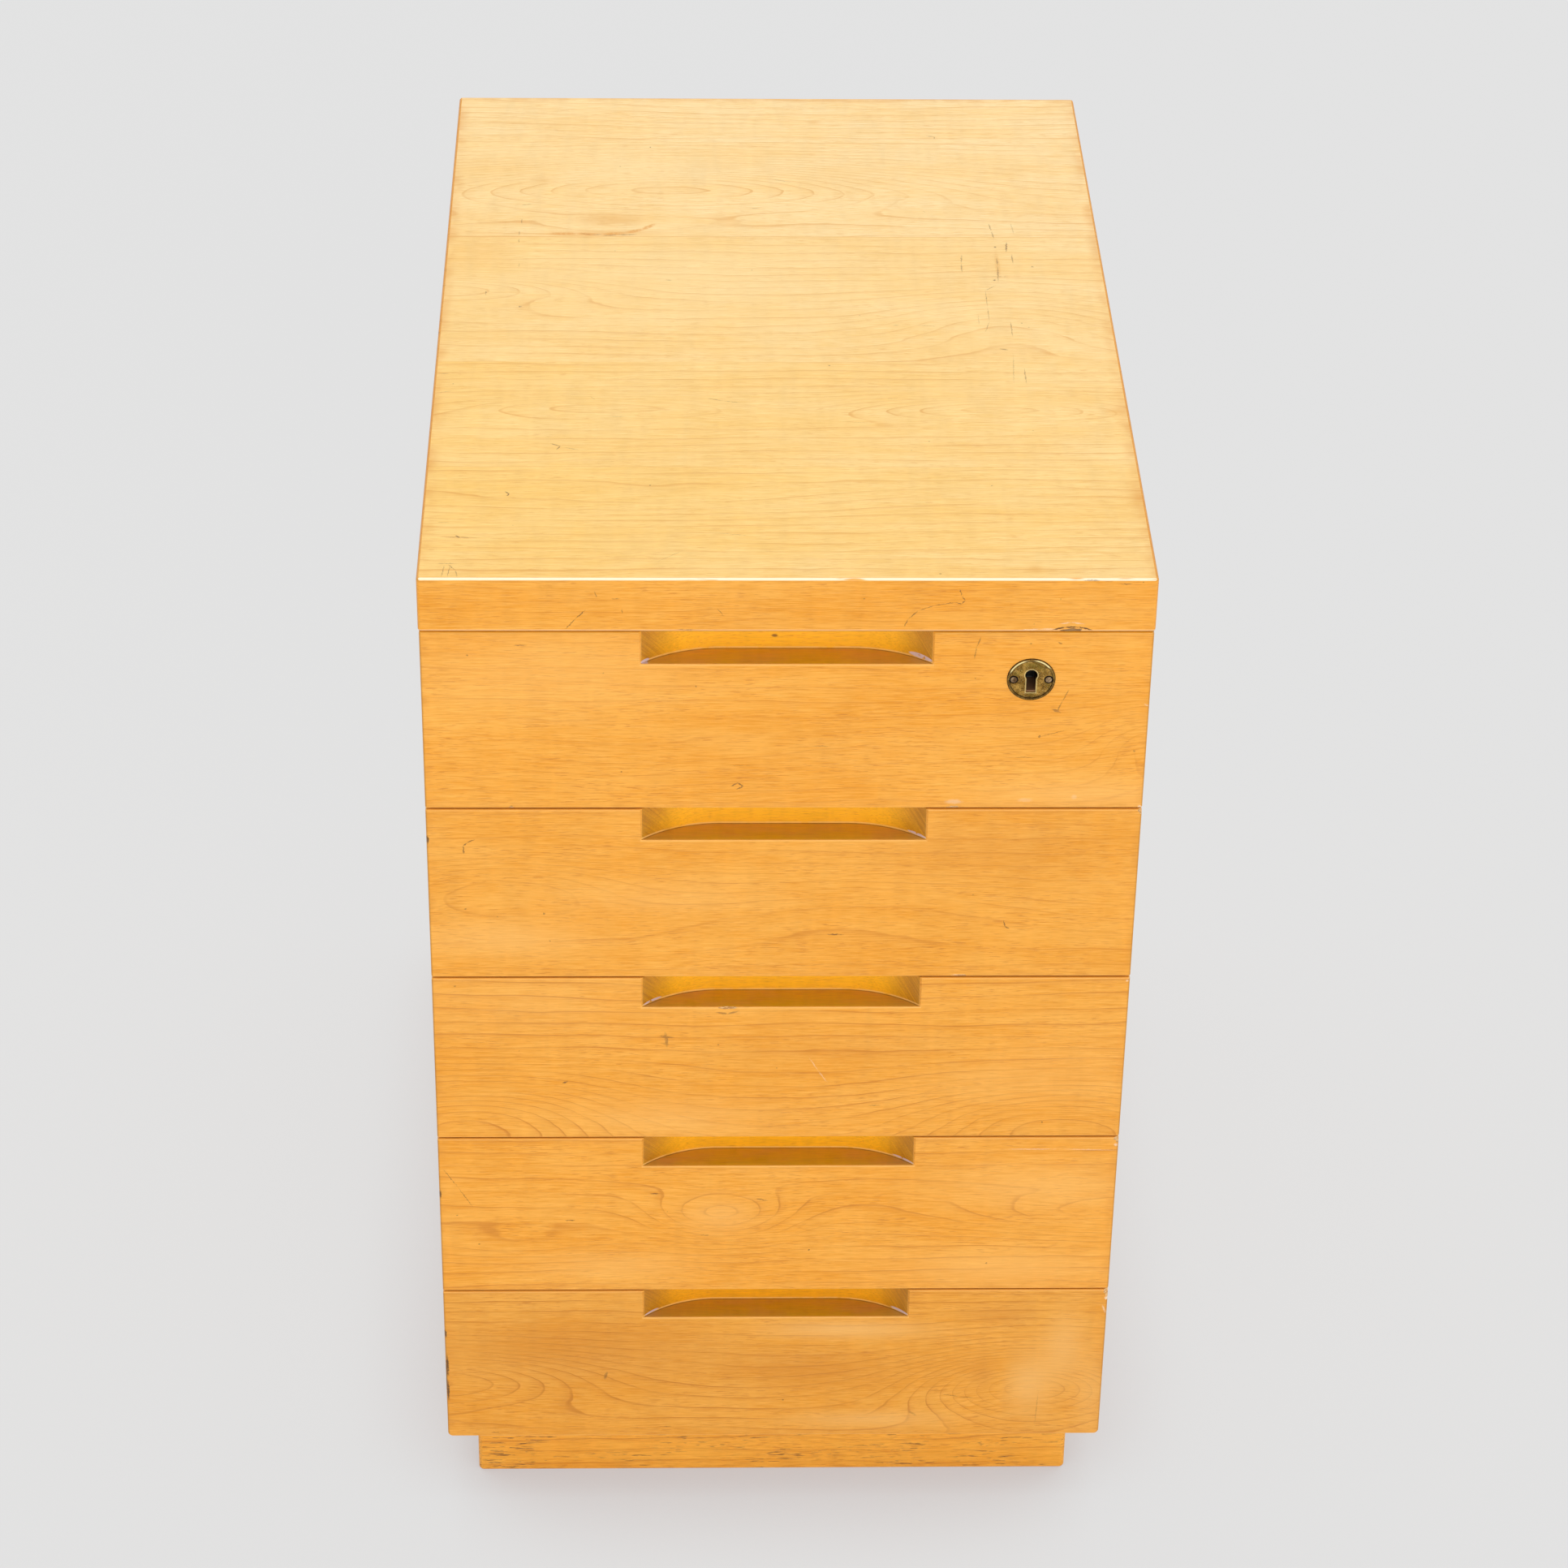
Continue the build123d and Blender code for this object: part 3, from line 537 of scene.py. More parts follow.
def front_material(number):
    """Drawer front: its own figure, its marks, toasted edges, painted shade at its sides and in the gap on
    its upper edge, and painted highlights on its roundings.
    """
    low, high = fronts[number]
    graph = Surface(f"birch_front_{number}", seed=11.0 * number)
    x, y, z = graph.x, graph.y, graph.z
    rise = z - low.z
    fall = high.z - z
    behind = y - low.y
    flat = graph.vector(x, rise)
    place = graph.grain("xzy")
    field = ring_field(graph, place, front_ring_spacing[number], slant=0.4, wander=1.5)
    field = field + graph.mounds(flat, front_hills[number])
    height = birch_surface(graph, place, field, front_tone, front_ring_lines[number])
    glow = graph.mounds(flat, front_glows[number])
    graph.lay(glow.at_least(0.0) * 0.75, glow_colour)
    graph.lay(glow.at_most(0.0) * -0.8, front_tone.line)
    graph.brighten(front_painted_shades[number])

    from_side = high.x - x.size()
    toast(graph, from_side.at_most(rise).at_most(fall), (6.0, 0.5), (9, 9, 9), share=0.35)
    # Painted shade on the rounded sides of the front
    graph.lay(from_side.ramp(1.3, 0.3) * 0.5, edge_shade_colour)
    at_front = behind.below(front_round)
    # A painted highlight on the lower rounding of the face
    graph.lay(rise.ramp(1.0, 0.3) * at_front * 0.8, pull_rim_highlight_colour)
    # Painted shade in the gap, on the upper face just behind the rounding
    gap_shade = behind.ramp(*gap_shade_begins) * behind.ramp(*gap_shade_ends) * fall.below(upper_face_depth)
    graph.lay(gap_shade * 0.75, gap_shade_colour)
    # The upper rounding is painted pale as a highlight, and on the lock drawer, under the top, a deeper gold
    # instead
    upper_colour = under_top_colour if number == lock_drawer else front_tone.pale
    graph.lay(fall.ramp(1.5, 0.3) * 0.6, upper_colour)

    graph.lay(marks_mask(graph, flat, front_pale_marks[number], 1.0) * at_front, pale_mark)
    graph.lay(marks_mask(graph, flat, front_dark_marks[number]) * at_front, dark_mark)

    # A painted highlight along the sill of the finger pull
    sill = (fall - pull_height).size().ramp(1.6, 0.2) * x.size().below(pull_half_width)
    graph.lay(sill * 0.6, pull_rim_highlight_colour)
    if number == lock_drawer:
        # Painted shade inside the keyhole, lighter lower down where painted light falls in
        away = graph.vector_math("DISTANCE", graph.vector(x, z), (plate_middle.x, plate_middle.z, 0.0))
        in_keyhole = away.below(keyhole_reach) * behind.above(keyhole_wall_depth)
        lit = (z - plate_middle.z).ramp(*keyhole_lit_heights) * 0.8
        graph.lay(in_keyhole, graph.mix(lit, keyhole_dark, keyhole_lit_colour))
    return graph.finish(lacquer(graph), height)


# Filler in a pull: along it, and up from its ledge
pull_fillers = {
    1: [Hill(69.5, 1.4, 6.0, 1.4, 1.0), Hill(-73.5, 0.6, 2.4, 1.0, 1.0)],
    2: [Hill(71.0, 0.8, 5.0, 0.8, 1.0)],
    3: [Hill(-70.0, 0.8, 5.0, 0.8, 1.0)],
    4: [Hill(70.0, 0.7, 6.0, 0.7, 1.0)],
    5: [Hill(71.0, 0.9, 5.0, 0.9, 1.0), Hill(-71.0, 0.7, 4.0, 0.7, 1.0)],
}
pull_knot = Hill(-6.0, 6.5, 1.8, 1.0, 1.0)


def pull_material(number):
    """Inside of a finger pull: a wall painted bright and a ledge painted deeper, as painted light and shade,
    painted highlights on its arch and edges, and filler at its ends.
    """
    low, high = fronts[number]
    graph = Surface(f"pull_birch_{number}", seed=11.0 * number + 5.0)
    x, y, z = graph.x, graph.y, graph.z
    sideways = x.size()
    rise = z - (high.z - pull_height)
    behind = y - low.y
    flat = graph.vector(x, rise)
    place = graph.grain("xzy")
    fibre = graph.noise(place, (14, 0.9, 0.9), detail=4.0, roughness=0.65)
    flecks = graph.noise(place, (5, 0.5, 0.5), 1.0, detail=1.0).ramp(0.56, 0.7)
    patches = graph.noise(place, (26, 8, 12), 2.0, detail=3.0)
    above = rise + behind * (pull_floor_fall / pull_depth)
    arc_centre = pull_depth - pull_cutter_radius
    straight = pull_half_width - sqrt(pull_cutter_radius**2 - arc_centre**2)
    in_arc = (sideways - straight).at_least(0.0)
    from_wall = pull_cutter_radius - graph.vector_math("LENGTH", graph.vector(in_arc, behind - arc_centre))
    # The ledge is painted darker than the wall as painted shade, paler in patches and towards its shallow
    # ends, and darker still along the wall as painted shade in the corner
    ledge_share = patches.ramp(0.46, 0.7) * 0.4 + sideways.ramp(25.0, 70.0) * 0.45
    ledge_colour = graph.mix(ledge_share, pull_ledge_colour, pull_ledge_pale_colour)
    ledge_colour = graph.mix(from_wall.ramp(1.2, 0.4) * 0.5, ledge_colour, gap_shade_colour)
    hatch_place = graph.vector(x + z * 0.7, y * 0.1, z * 0.2 - x * 0.1)
    hatch = graph.noise(hatch_place, (0.9, 9.0, 5.0), 7.0)
    # The curved ends of the wall are painted darker as painted shade, broken by a hatch of end grain
    wall_share = sideways.ramp(52.0, 74.0) * (hatch * 0.9 + 0.4)
    graph.colour = graph.mix(wall_share, pull_wall_colours[number], pull_end_shade_colour)
    graph.lay(above.ramp(0.2, 0.05), ledge_colour)
    graph.lay(flecks * 0.35, front_tone.line)
    tiger = graph.noise(graph.place, (5, 40, 16), 6.0, detail=1.0, distortion=0.6)
    graph.brighten((fibre * 0.5 + tiger * 0.16 + 0.67) * pull_painted_shades[number])
    # A painted highlight along the arch where the wall meets the ledge, partly pale wear, in broken patches
    arch = (above - 0.6).size().ramp(0.7, 0.2)
    highlight_and_wear = graph.noise(graph.place, (9, 9, 9), 4.0, detail=3.0)
    graph.lay(arch * highlight_and_wear.ramp(0.25, 0.5) * 0.75, pull_arch_highlight_colour)
    torn = graph.noise(graph.place, (4, 4, 4), 3.0, detail=3.0).ramp(0.36, 0.44)
    for filler in pull_fillers[number]:
        graph.lay(graph.mound(flat, filler).ramp(0.3, 0.5) * torn * 0.8, filler_colour)
    # A painted highlight on the front edges of the pull
    graph.lay(behind.ramp(1.4, 0.4) * 0.6, pull_rim_highlight_colour)
    if number == knot_drawer:
        graph.lay(graph.mound(flat, pull_knot).ramp(0.2, 0.8) * 0.8, dark_mark)
    return graph.finish(lacquer(graph), fibre * 0.5 - flecks * 0.3)


# Top panel, seen from above: places are along X and along Y, and the boards are listed from front to back
Board = namedtuple("Board", "back_edge paleness joint hills")
# Each board's paleness rises towards the back: partly the boards' own tone, partly a painted sheen
top_boards = [
    Board(-263.0, 0.30, 0.35, [Hill(0, -300, 200, 20, 1.1)]),
    Board(-174.0, 0.24, 0.45, [Hill(-80, -215, 120, 22, 1.5)]),
    Board(-56.0, 0.40, 0.15, [Hill(120, -109, 78, 15, -5.7), Hill(-90, -107, 78, 13, -4.2)]),
    Board(98.5, 0.62, 0.8, [Hill(-186, 33, 80, 20, -6.1), Hill(130, -6, 62, 40, -4.2)]),
    Board(226.0, 0.88, 0.25, [Hill(-60, 166, 150, 32, -11.4), Hill(-94, 112, 34, 12, 1.2)]),
    Board(300.0, 0.95, 0.0, [Hill(60, 270, 200, 30, 1.5)]),
]
top_glows = [
    Hill(-96, 121, 20, 7, -0.8), Hill(-97, 103, 34, 4, -0.7), Hill(127, -280, 4, 4, -0.8),
    Hill(187, -205, 6, 12, -0.7), Hill(183, -111, 6, 4, -0.6), Hill(28, 255, 4, 3, -0.6),
    Hill(-60, 40, 120, 60, 0.2), Hill(-136, 173, 5, 4, -0.5), Hill(-170, 78, 24, 22, -0.35),
]
top_dark_marks = {
    faint: [
        (0.6, (-147, 64), (-147, 59)), (0.6, (89, 133), (91, 131)), (0.8, (140, 118), (141, 103)),
        (0.7, (122, 49), (136, 48)), (0.5, (114, 2), (114, -12)), (1.2, (142, -14)), (1.0, (47, 0)),
        (1.6, (-178, -248), (-160, -249)), (0.8, (-181, -233), (-175, -233)), (1.0, (-142, -236)),
        (0.6, (-104, -96), (-101, -100)), (1.0, (-89, -75)), (0.6, (-187, -92), (-179, -90)),
        (0.6, (-94, -119), (-84, -119)), (0.5, (-41, -243), (-16, -247)), (0.5, (-53, -261), (-68, -274)),
        (0.7, (131, -45), (129, -81)), (1.0, (69, -156)), (0.5, (32, -124), (51, -126)),
        (0.6, (58, -98), (64, -98)),
    ],
    plain: [
        (0.6, (1, 175), (13, 171)), (0.6, (-13, 136), (-7, 136)), (0.8, (-149, 139), (-141, 141)),
        (0.7, (-147, 121), (-147, 115)), (0.7, (-148, 105), (-148, 100)), (0.7, (-148, 95), (-148, 90)),
        (0.7, (-165, 29), (-165, 24)), (0.6, (-63, 43), (-59, 43)), (1.0, (-13, 56)), (1.0, (-92, 80)),
        (0.8, (96, 236), (101, 235), (101, 232)), (0.9, (109, 76), (108, 65), (108, 54)),
        (0.8, (127, 117), (128, 107), (129, 97)), (1.0, (129, 72), (129, 62), (128, 42)),
        (0.9, (138, 77), (138, 65)), (1.8, (149, 61)),
        (0.5, (126, 37), (120, 31), (120, 10), (120, -7), (117, -20)), (0.6, (65, -12), (69, -12)),
        (0.6, (78, -12), (91, -13)), (0.8, (132, -7), (132, -25)), (1.2, (138, -9)),
        (0.7, (-117, -153), (-109, -156)), (0.7, (-40, -98), (-31, -101), (-22, -103)),
        (0.8, (-188, -70), (-182, -70)), (1.0, (-179, -82)), (0.8, (-177, -288), (-176, -277)),
        (0.8, (-174, -288), (-173, -278)), (0.8, (-169, -288), (-170, -282), (-174, -276)),
        (0.8, (-180, -275), (-170, -275)), (1.3, (28, -60)), (1.4, (124, -40), (128, -41)),
        (0.7, (136, -62), (136, -81)), (1.0, (136, -134)), (1.0, (79, -146)), (1.2, (110, -194)),
        (1.0, (-112, 102), (-106, 101), (-100, 101)), (1.4, (78, -285)),
        (1.5, (-99, 99.6), (-91, 100.6), (-80, 101)),
    ],
    strong: [
        (1.2, (-72, 219)), (1.1, (-90, 192)), (1.9, (-145, 10)), (1.3, (-189, 58), (-189, 51)),
        (1.3, (-189, 38), (-189, 34)), (1.2, (-189, -4), (-189, -9)), (1.2, (-189, -20), (-189, -24)),
        (1.2, (136, 92), (135, 80)), (1.8, (129, 86)), (1.8, (126, 44)),
        (0.9, (-124, -149), (-119, -152), (-121, -155)), (1.0, (-147, -201), (-145, -203), (-146, -205)),
        (1.5, (-171, -247), (-169, -249)), (1.1, (-71, -194)),
    ],
}
top_soft_marks = {
    faint: [(2.0, (124, 49), (146, 49)), (3.4, (129, 80), (129, 46)), (2.6, (-178, -248), (-160, -249))],
    strong: [
        (4.2, (-100, 101), (-86, 103), (-76, 108), (-70, 114)), (4.0, (-130, 102), (-114, 102), (-102, 101)),
    ],
}
# On the front edge of the top, along X and up from its lower edge
strip_dark_marks = {
    faint: [(1.0, (140, 20))],
    plain: [
        (0.8, (-99, 24), (-98, 21)), (0.9, (-90, 20), (-86, 20)), (0.5, (-85, 14), (-85, 11)),
        (0.6, (-36, 14), (-33, 10)), (1.0, (-56, 1.5), (-48, 1.5)), (1.0, (39, 20)), (0.9, (127, 5)),
        (1.0, (151, 31), (160, 31)), (1.0, (170, 29), (176, 29)), (1.0, (182, 30)),
    ],
    strong: [
        (0.7, (-104, 13), (-109, 8), (-114, 2)),
        (0.6, (60, 3), (62, 8), (67, 13), (75, 16), (86, 18), (89, 17), (91, 19), (89, 22), (88, 26)),
    ],
    deep: [(1.0, (137, 1.6), (143, 3), (150, 3.2), (157, 1.4))],
}
strip_soft_marks = {plain: [(3.0, (-129, 27), (-120, 27)), (1.5, (-189, 30), (-180, 30))]}
strip_pale_marks = {plain: [(0.9, (118, 1), (130, 2), (139, 2)), (0.8, (140, 5), (146, 6), (153, 5))]}


def each_board(across, boards):
    """Each board, with a signal that is 1 on it and 0 elsewhere."""
    low_edge = -beyond_boards
    for board in boards:
        yield board, across.between(low_edge, board.back_edge)
        low_edge = board.back_edge


def board_count(across, boards):
    """0 on the first board, and one more past each glue joint."""
    total = across.above(boards[0].back_edge)
    for board in boards[1:-1]:
        total = total + across.above(board.back_edge)
    return total


def glued_boards(graph, place, boards, spacing, wander):
    """Glued-up boards: the place moved anew for each board, the ring field, and the glue lines."""
    along, across, depth = graph.axes(place)
    count = board_count(across, boards)
    moved = graph.vector(along + count * board_shift_along, across, depth + count * board_shift_deep)
    field = ring_field(graph, moved, spacing, slant=0.5, wander=wander) + count * board_shift_rings
    flat = graph.vector(along, across)
    glue = None
    for board, on_board in each_board(across, boards):
        field = field + graph.mounds(flat, board.hills) * on_board
        line = (across - board.back_edge).size().ramp(0.7, 0.2) * board.joint
        glue = line if glue is None else glue + line
    return moved, field, glue


def board_paleness(across, boards):
    """How pale the board under each place is."""
    total = 0.0
    for board, on_board in each_board(across, boards):
        total = on_board * board.paleness + total
    return total


def top_face_material():
    """Upper face of the top: glued boards that differ in paleness, paler towards the back and the right
    partly as a painted sheen, with a knot and its marks.
    """
    graph = Surface("top_face_birch", seed=3.0)
    x, y = graph.x, graph.y
    place = graph.grain("xyz")
    moved, field, glue = glued_boards(graph, place, top_boards, spacing=9.0, wander=1.7)
    flat = graph.vector(x, y)
    # Paler on some boards and towards the right: partly the boards' own tone, partly a painted sheen
    paleness = board_paleness(y, top_boards) + x * sheen_per_millimetre
    tones = zip(top_warm_tone, top_pale_tone)
    tone = BirchTone(*[graph.mix(paleness, warm, pale) for warm, pale in tones])
    height = birch_surface(graph, moved, field, tone, lines=1.0)
    glow = graph.mounds(flat, top_glows)
    graph.lay(glow.at_least(0.0), top_pale_tone.pale)
    graph.lay(glow.at_most(0.0) * -0.6, top_warm_tone.line)
    graph.lay(glue * 0.5, top_warm_tone.line)
    inward = (top_high.x - x.size()).at_most(top_high.y - y)
    toast(graph, inward, (9.0, 1.0), (14, 14, 8), share=0.4, patches_from=0.3)
    graph.lay(marks_mask(graph, flat, top_soft_marks) * 0.8, soft_mark)
    graph.lay(marks_mask(graph, flat, top_dark_marks, 1.0), dark_mark)
    return graph.finish(lacquer(graph), height)


def top_edge_material():
    """Edges of the top: deeper in colour, end grain at both sides, painted shade on the rounded edges and in
    the gap below, and a painted highlight, partly wear, along the front edge.
    """
    graph = Surface("top_edge_birch", seed=5.0)
    x, y, z = graph.x, graph.y, graph.z
    place = graph.grain("xzy")
    field = ring_field(graph, place, spacing=6.5, slant=0.7, wander=2.2)
    height = birch_surface(graph, place, field, front_tone, lines=0.5)
    graph.brighten(top_edge_shade)
    end_distance = top_high.x - x.size()
    end_pores = graph.noise(graph.place, (0.6, 0.6, 0.6), 4.0).ramp(0.5, 0.68)
    graph.lay(end_distance.ramp(1.0, 0.2) * (end_pores * 0.35 + 0.4), end_grain_colour)
    # Painted shade where the rounded edges of the top turn away
    outline = end_distance.at_most(top_high.y - y).ramp(2.2, 1.2) * z.above(top_high.z - top_round)
    graph.lay(outline * 0.35, edge_shade_colour)

    rise = z - top_low.z
    fall = top_high.z - z
    strip = graph.vector(x, rise)
    on_strip = y.below(top_low.y + strip_depth)
    graph.lay(marks_mask(graph, strip, strip_soft_marks, 2.0) * on_strip * 0.8, soft_mark)
    graph.lay(marks_mask(graph, strip, strip_pale_marks, 3.0) * on_strip, pale_mark)
    graph.lay(rise.ramp(1.9, 1.3) * on_strip * 0.5, strip_rim_colour)
    # Painted shade in the gap below the top
    graph.lay(rise.ramp(0.95, 0.45) * on_strip * 0.85, gap_shade_dark)
    edge_noise = graph.noise(graph.place, (22, 3, 3), 5.0, detail=3.0)
    # A painted highlight along the rounded front edge, partly pale wear
    highlight_and_wear = ((y - top_low.y) + fall).ramp(1.3, 1.0) * edge_noise.ramp(0.24, 0.4)
    graph.lay(highlight_and_wear * 0.9, edge_highlight_and_wear_colour)
    under_edge = (fall - 1.9).size().ramp(0.7, 0.2) * on_strip
    graph.lay(under_edge * edge_noise.ramp(0.5, 0.62) * 0.6, toasted_edge)
    graph.lay(marks_mask(graph, strip, strip_dark_marks, 4.0) * on_strip, dark_mark)
    return graph.finish(lacquer(graph), height)


side_boards = [
    Board(-150.0, 0.0, 0.3, [Hill(300, -220, 260, 30, -4.8)]),
    Board(-20.0, 0.0, 0.4, [Hill(480, -90, 200, 34, 4.8), Hill(120, -70, 120, 22, -3.2)]),
    Board(118.0, 0.0, 0.3, [Hill(220, 50, 240, 32, -6.4)]),
    Board(300.0, 0.0, 0.0, [Hill(420, 200, 180, 36, 5.4), Hill(90, 190, 90, 26, -3.2)]),
]
side_dark_marks = {
    plain: [
        (0.7, (412, -132), (396, -120)), (0.6, (210, 84), (206, 60), (198, 44)), (0.7, (64, 120), (70, 150)),
        (0.5, (455, -10), (450, 20)), (1.6, (150, 10)), (1.0, (570, -230), (560, -228)),
    ],
    strong: [(1.8, (520, 40)), (1.2, (96, -204), (92, -190)), (1.5, (333, 214)), (1.1, (288, -60))],
}


def side_material(name, seed):
    """Side panel: glued boards with upright grain, lacquered outside."""
    low, high = corners(name)
    graph = Surface("birch_" + name, seed)
    y, z = graph.y, graph.z
    place = graph.grain("zyx")
    moved, field, glue = glued_boards(graph, place, side_boards, spacing=7.5, wander=2.4)
    height = birch_surface(graph, moved, field, side_tone, lines=0.9)
    graph.lay(glue * 0.5, side_tone.line)
    behind = y - low.y
    inward = behind.at_most(high.y - y).at_most(z - low.z)
    toast(graph, inward, (9.0, 0.6), (12, 12, 12), share=0.5)
    graph.lay(behind.ramp(1.2, 0.3) * 0.5, toasted_edge)
    graph.lay(marks_mask(graph, graph.vector(z, y), side_dark_marks), dark_mark)
    scuff = graph.noise(graph.place, (2, 40, 26), 8.0, detail=4.0, roughness=0.7)
    graph.lay(scuff.ramp(0.66, 0.8) * 0.3, side_tone.deep)
    return graph.finish(lacquer(graph), height)


def plinth_material(name, order, seed):
    """Plinth board: deeper in colour, scuffed, with short dark streaks along the grain."""
    graph = Surface("birch_" + name, seed)
    place = graph.grain(order)
    field = ring_field(graph, place, spacing=9.0, slant=0.5, wander=1.6)
    height = birch_surface(graph, place, field, plinth_tone, lines=0.8)
    zone = graph.noise(place, (46, 12, 12), 13.0).ramp(0.42, 0.56)
    streaks = graph.noise(place, (9, 0.9, 0.9), 12.0).ramp(0.59, 0.66) * zone
    graph.lay(streaks * 0.75, dark_mark)
    # Darker in patches towards the floor
    darkening = graph.noise(graph.place, (16, 16, 5), 14.0, detail=3.0).ramp(0.4, 0.75)
    above_floor = graph.z - corners(name)[0].z
    graph.lay(above_floor.ramp(9.0, 0.5) * darkening * 0.4, plinth_tone.line)
    return graph.finish(lacquer(graph), height - streaks * 0.8)


def bare_finish(graph, height, dullness):
    """Close a material of wood without lacquer."""
    dull = graph.noise(graph.place, (20, 20, 20)) * 0.15 + dullness
    return graph.finish(dull, height, bump_distance=0.14)


def box_wood_material(name, tone, order, seed, lines=0.8):
    """Plain birch that is oiled or left bare: drawer boxes, runners, blocks and dowels."""
    graph = Surface(name, seed)
    place = graph.grain(order)
    field = ring_field(graph, place, spacing=7.0, slant=0.6, wander=2.2) + graph.mounds(place, box_hills)
    height = birch_surface(graph, place, field, tone, lines)
    smudge = graph.noise(graph.place, (34, 34, 24), 3.0, detail=3.0).ramp(0.5, 0.8)
    graph.lay(smudge * 0.25, tone.line)
    return bare_finish(graph, height, 0.5)


def plywood_material(name, order, low, high, seed):
    """Birch plywood: a broad peeled figure on its two faces and thin plies on its edges."""
    graph = Surface(name, seed)
    place = graph.grain(order)
    field = ring_field(graph, place, spacing=22.0, slant=0.0, wander=5.0)
    height = birch_surface(graph, place, field, veneer_tone, lines=0.9)
    depth = graph.axes(place)[2]
    plies = ((depth - low) / ((high - low) / ply_count)).fraction().ramp(0.42, 0.5)
    edge = (depth - low).at_most(high - depth).ramp(0.15, 0.3)
    graph.lay(edge * 0.85, graph.mix(plies, veneer_tone.line, veneer_tone.pale))
    return bare_finish(graph, height, 0.52)


def raw_wood_material():
    """Torn wood where the lacquer has chipped away."""
    graph = Surface("torn_wood", seed=41.0)
    fibre = graph.noise(graph.grain("xzy"), (5, 0.5, 0.5), detail=4.0, roughness=0.7)
    graph.colour = graph.mix(fibre.ramp(0.35, 0.65), raw_wood_deep, raw_wood_pale)
    # Dark with dirt on the chips at the left, and darkened as painted shade on the one under the top
    under_top = graph.z.between(*[top_low.z + height for height in shaded_chip_heights])
    darkening = graph.x.below(dirty_chips_end).at_least(under_top)
    graph.lay(darkening * 0.7, dark_mark)
    return graph.finish(fibre * 0.2 + 0.6, fibre, bump_distance=0.4)


brass_light = (210, 168, 84)
brass_middle = (158, 118, 46)
brass_dark = (62, 40, 14)
brass_green = (126, 112, 40)
brass_polished_and_highlight = (255, 236, 170)

# Painted highlights on the rim, along and up from the middle of the plate
rim_highlight_crescents = [Hill(-8.2, 8.8, 5.2, 4.0, 1.0), Hill(6.6, 10.0, 4.6, 2.8, 1.0)]


def aged_brass_material():
    """Escutcheon: pitted and stained brass, polished where the rim is touched, with painted highlights on
    the rim.
    """
    graph = Surface("aged_brass", seed=5.0)
    place = graph.place
    pits = graph.noise(place, (0.55, 0.55, 0.55), detail=4.0, roughness=0.7)
    stain = graph.noise(place, (3.2, 3.2, 3.2), 1.0, detail=4.0, roughness=0.65)
    green = graph.noise(place, (5.0, 5.0, 5.0), 2.0, detail=3.0).ramp(0.46, 0.7)
    graph.colour = graph.mix(pits.ramp(0.38, 0.58), brass_dark, brass_middle)
    graph.lay(stain.ramp(0.44, 0.7) * 0.75, brass_light)
    graph.lay(green * 0.5, brass_green)
    specks = graph.noise(place, (0.4, 0.4, 0.4), 3.0).ramp(0.64, 0.7)
    graph.lay(specks * 0.7, brass_polished_and_highlight)
    across, up = graph.x - plate_middle.x, graph.z - plate_middle.z
    flat = graph.vector(across, up)
    away = graph.vector_math("LENGTH", flat)
    dish_radius = plate_radius - plate_rim
    on_rim = away.ramp(dish_radius - 0.1, dish_radius + 0.2)
    graph.lay(on_rim * 0.45, brass_dark)
    crescents = graph.mounds(flat, rim_highlight_crescents)
    # Painted highlights on the rim
    rim_highlight = (away - (plate_radius - 0.8)).size().ramp(0.5, 0.2) * crescents.ramp(0.1, 0.5)
    graph.lay(rim_highlight, brass_polished_and_highlight)
    outer = away.ramp(plate_radius - 0.35, plate_radius - 0.05)
    inner = (away - dish_radius).size().ramp(0.35, 0.05)
    graph.lay(outer.at_least(inner) * 0.8, brass_dark)
    round_part = graph.vector_math("DISTANCE", flat, (0.0, key_above_centre, 0.0)) - keyhole_radius
    slot_middle = key_above_centre - keyhole_drop / 2
    slot_part = (across.size() - keyhole_slot_half).at_least((up - slot_middle).size() - keyhole_drop / 2)
    bevel = (round_part.at_most(slot_part) - 0.35).size().ramp(0.4, 0.1)
    graph.lay(bevel * 0.45, brass_polished_and_highlight)
    for screw_x in (-plate_screw_offset, plate_screw_offset):
        from_screw = graph.vector_math("DISTANCE", flat, (screw_x, 0.0, 0.0))
        graph.lay((from_screw - plate_screw_radius).size().ramp(0.6, 0.2), keyhole_dark)
    roughness = 0.62 - on_rim * 0.34 + pits * 0.12
    return graph.finish(roughness, pits * 0.5 + stain * 0.4, bump_distance=0.25, metallic=0.85)


def metal_material(name, light, dark, seed, roughness):
    """Plain brass or zinced steel inside the lock, dulled and a little scratched."""
    graph = Surface(name, seed)
    stain = graph.noise(graph.place, (6, 6, 6), detail=4.0, roughness=0.6)
    scratch = graph.noise(graph.place, (9, 0.3, 0.5), 2.0, detail=3.0)
    graph.colour = graph.mix(stain.ramp(0.3, 0.7), dark, light)
    graph.brighten(scratch * 0.2 + 0.9)
    return graph.finish(stain * 0.2 + scratch * 0.1 + roughness, scratch * 0.2, metallic=0.9)


def dress(names, material):
    """Give nodes that keep their own meshes a material."""
    for name in names:
        slots = nodes[name].material_slots
        for slot in slots:
            slot.link = "OBJECT"
            slot.material = material
        if not slots:
            nodes[name].data.materials.append(material)


# Gouged meshes: corners closer than this, in metres, are joined, and edges below this angle look smooth
weld_distance = 0.00001
smooth_angle = radians(28)
gouge_roughness = 0.35
gouge_lumps = 2.6
gouge_noise_step = 7.0

# How far the test for faces of a pull reaches past it, in millimetres, and how far the top face may dip
behind_pull = 1.0
beside_pull = 0.1
below_pull = 2.0
top_face_dip = 0.01


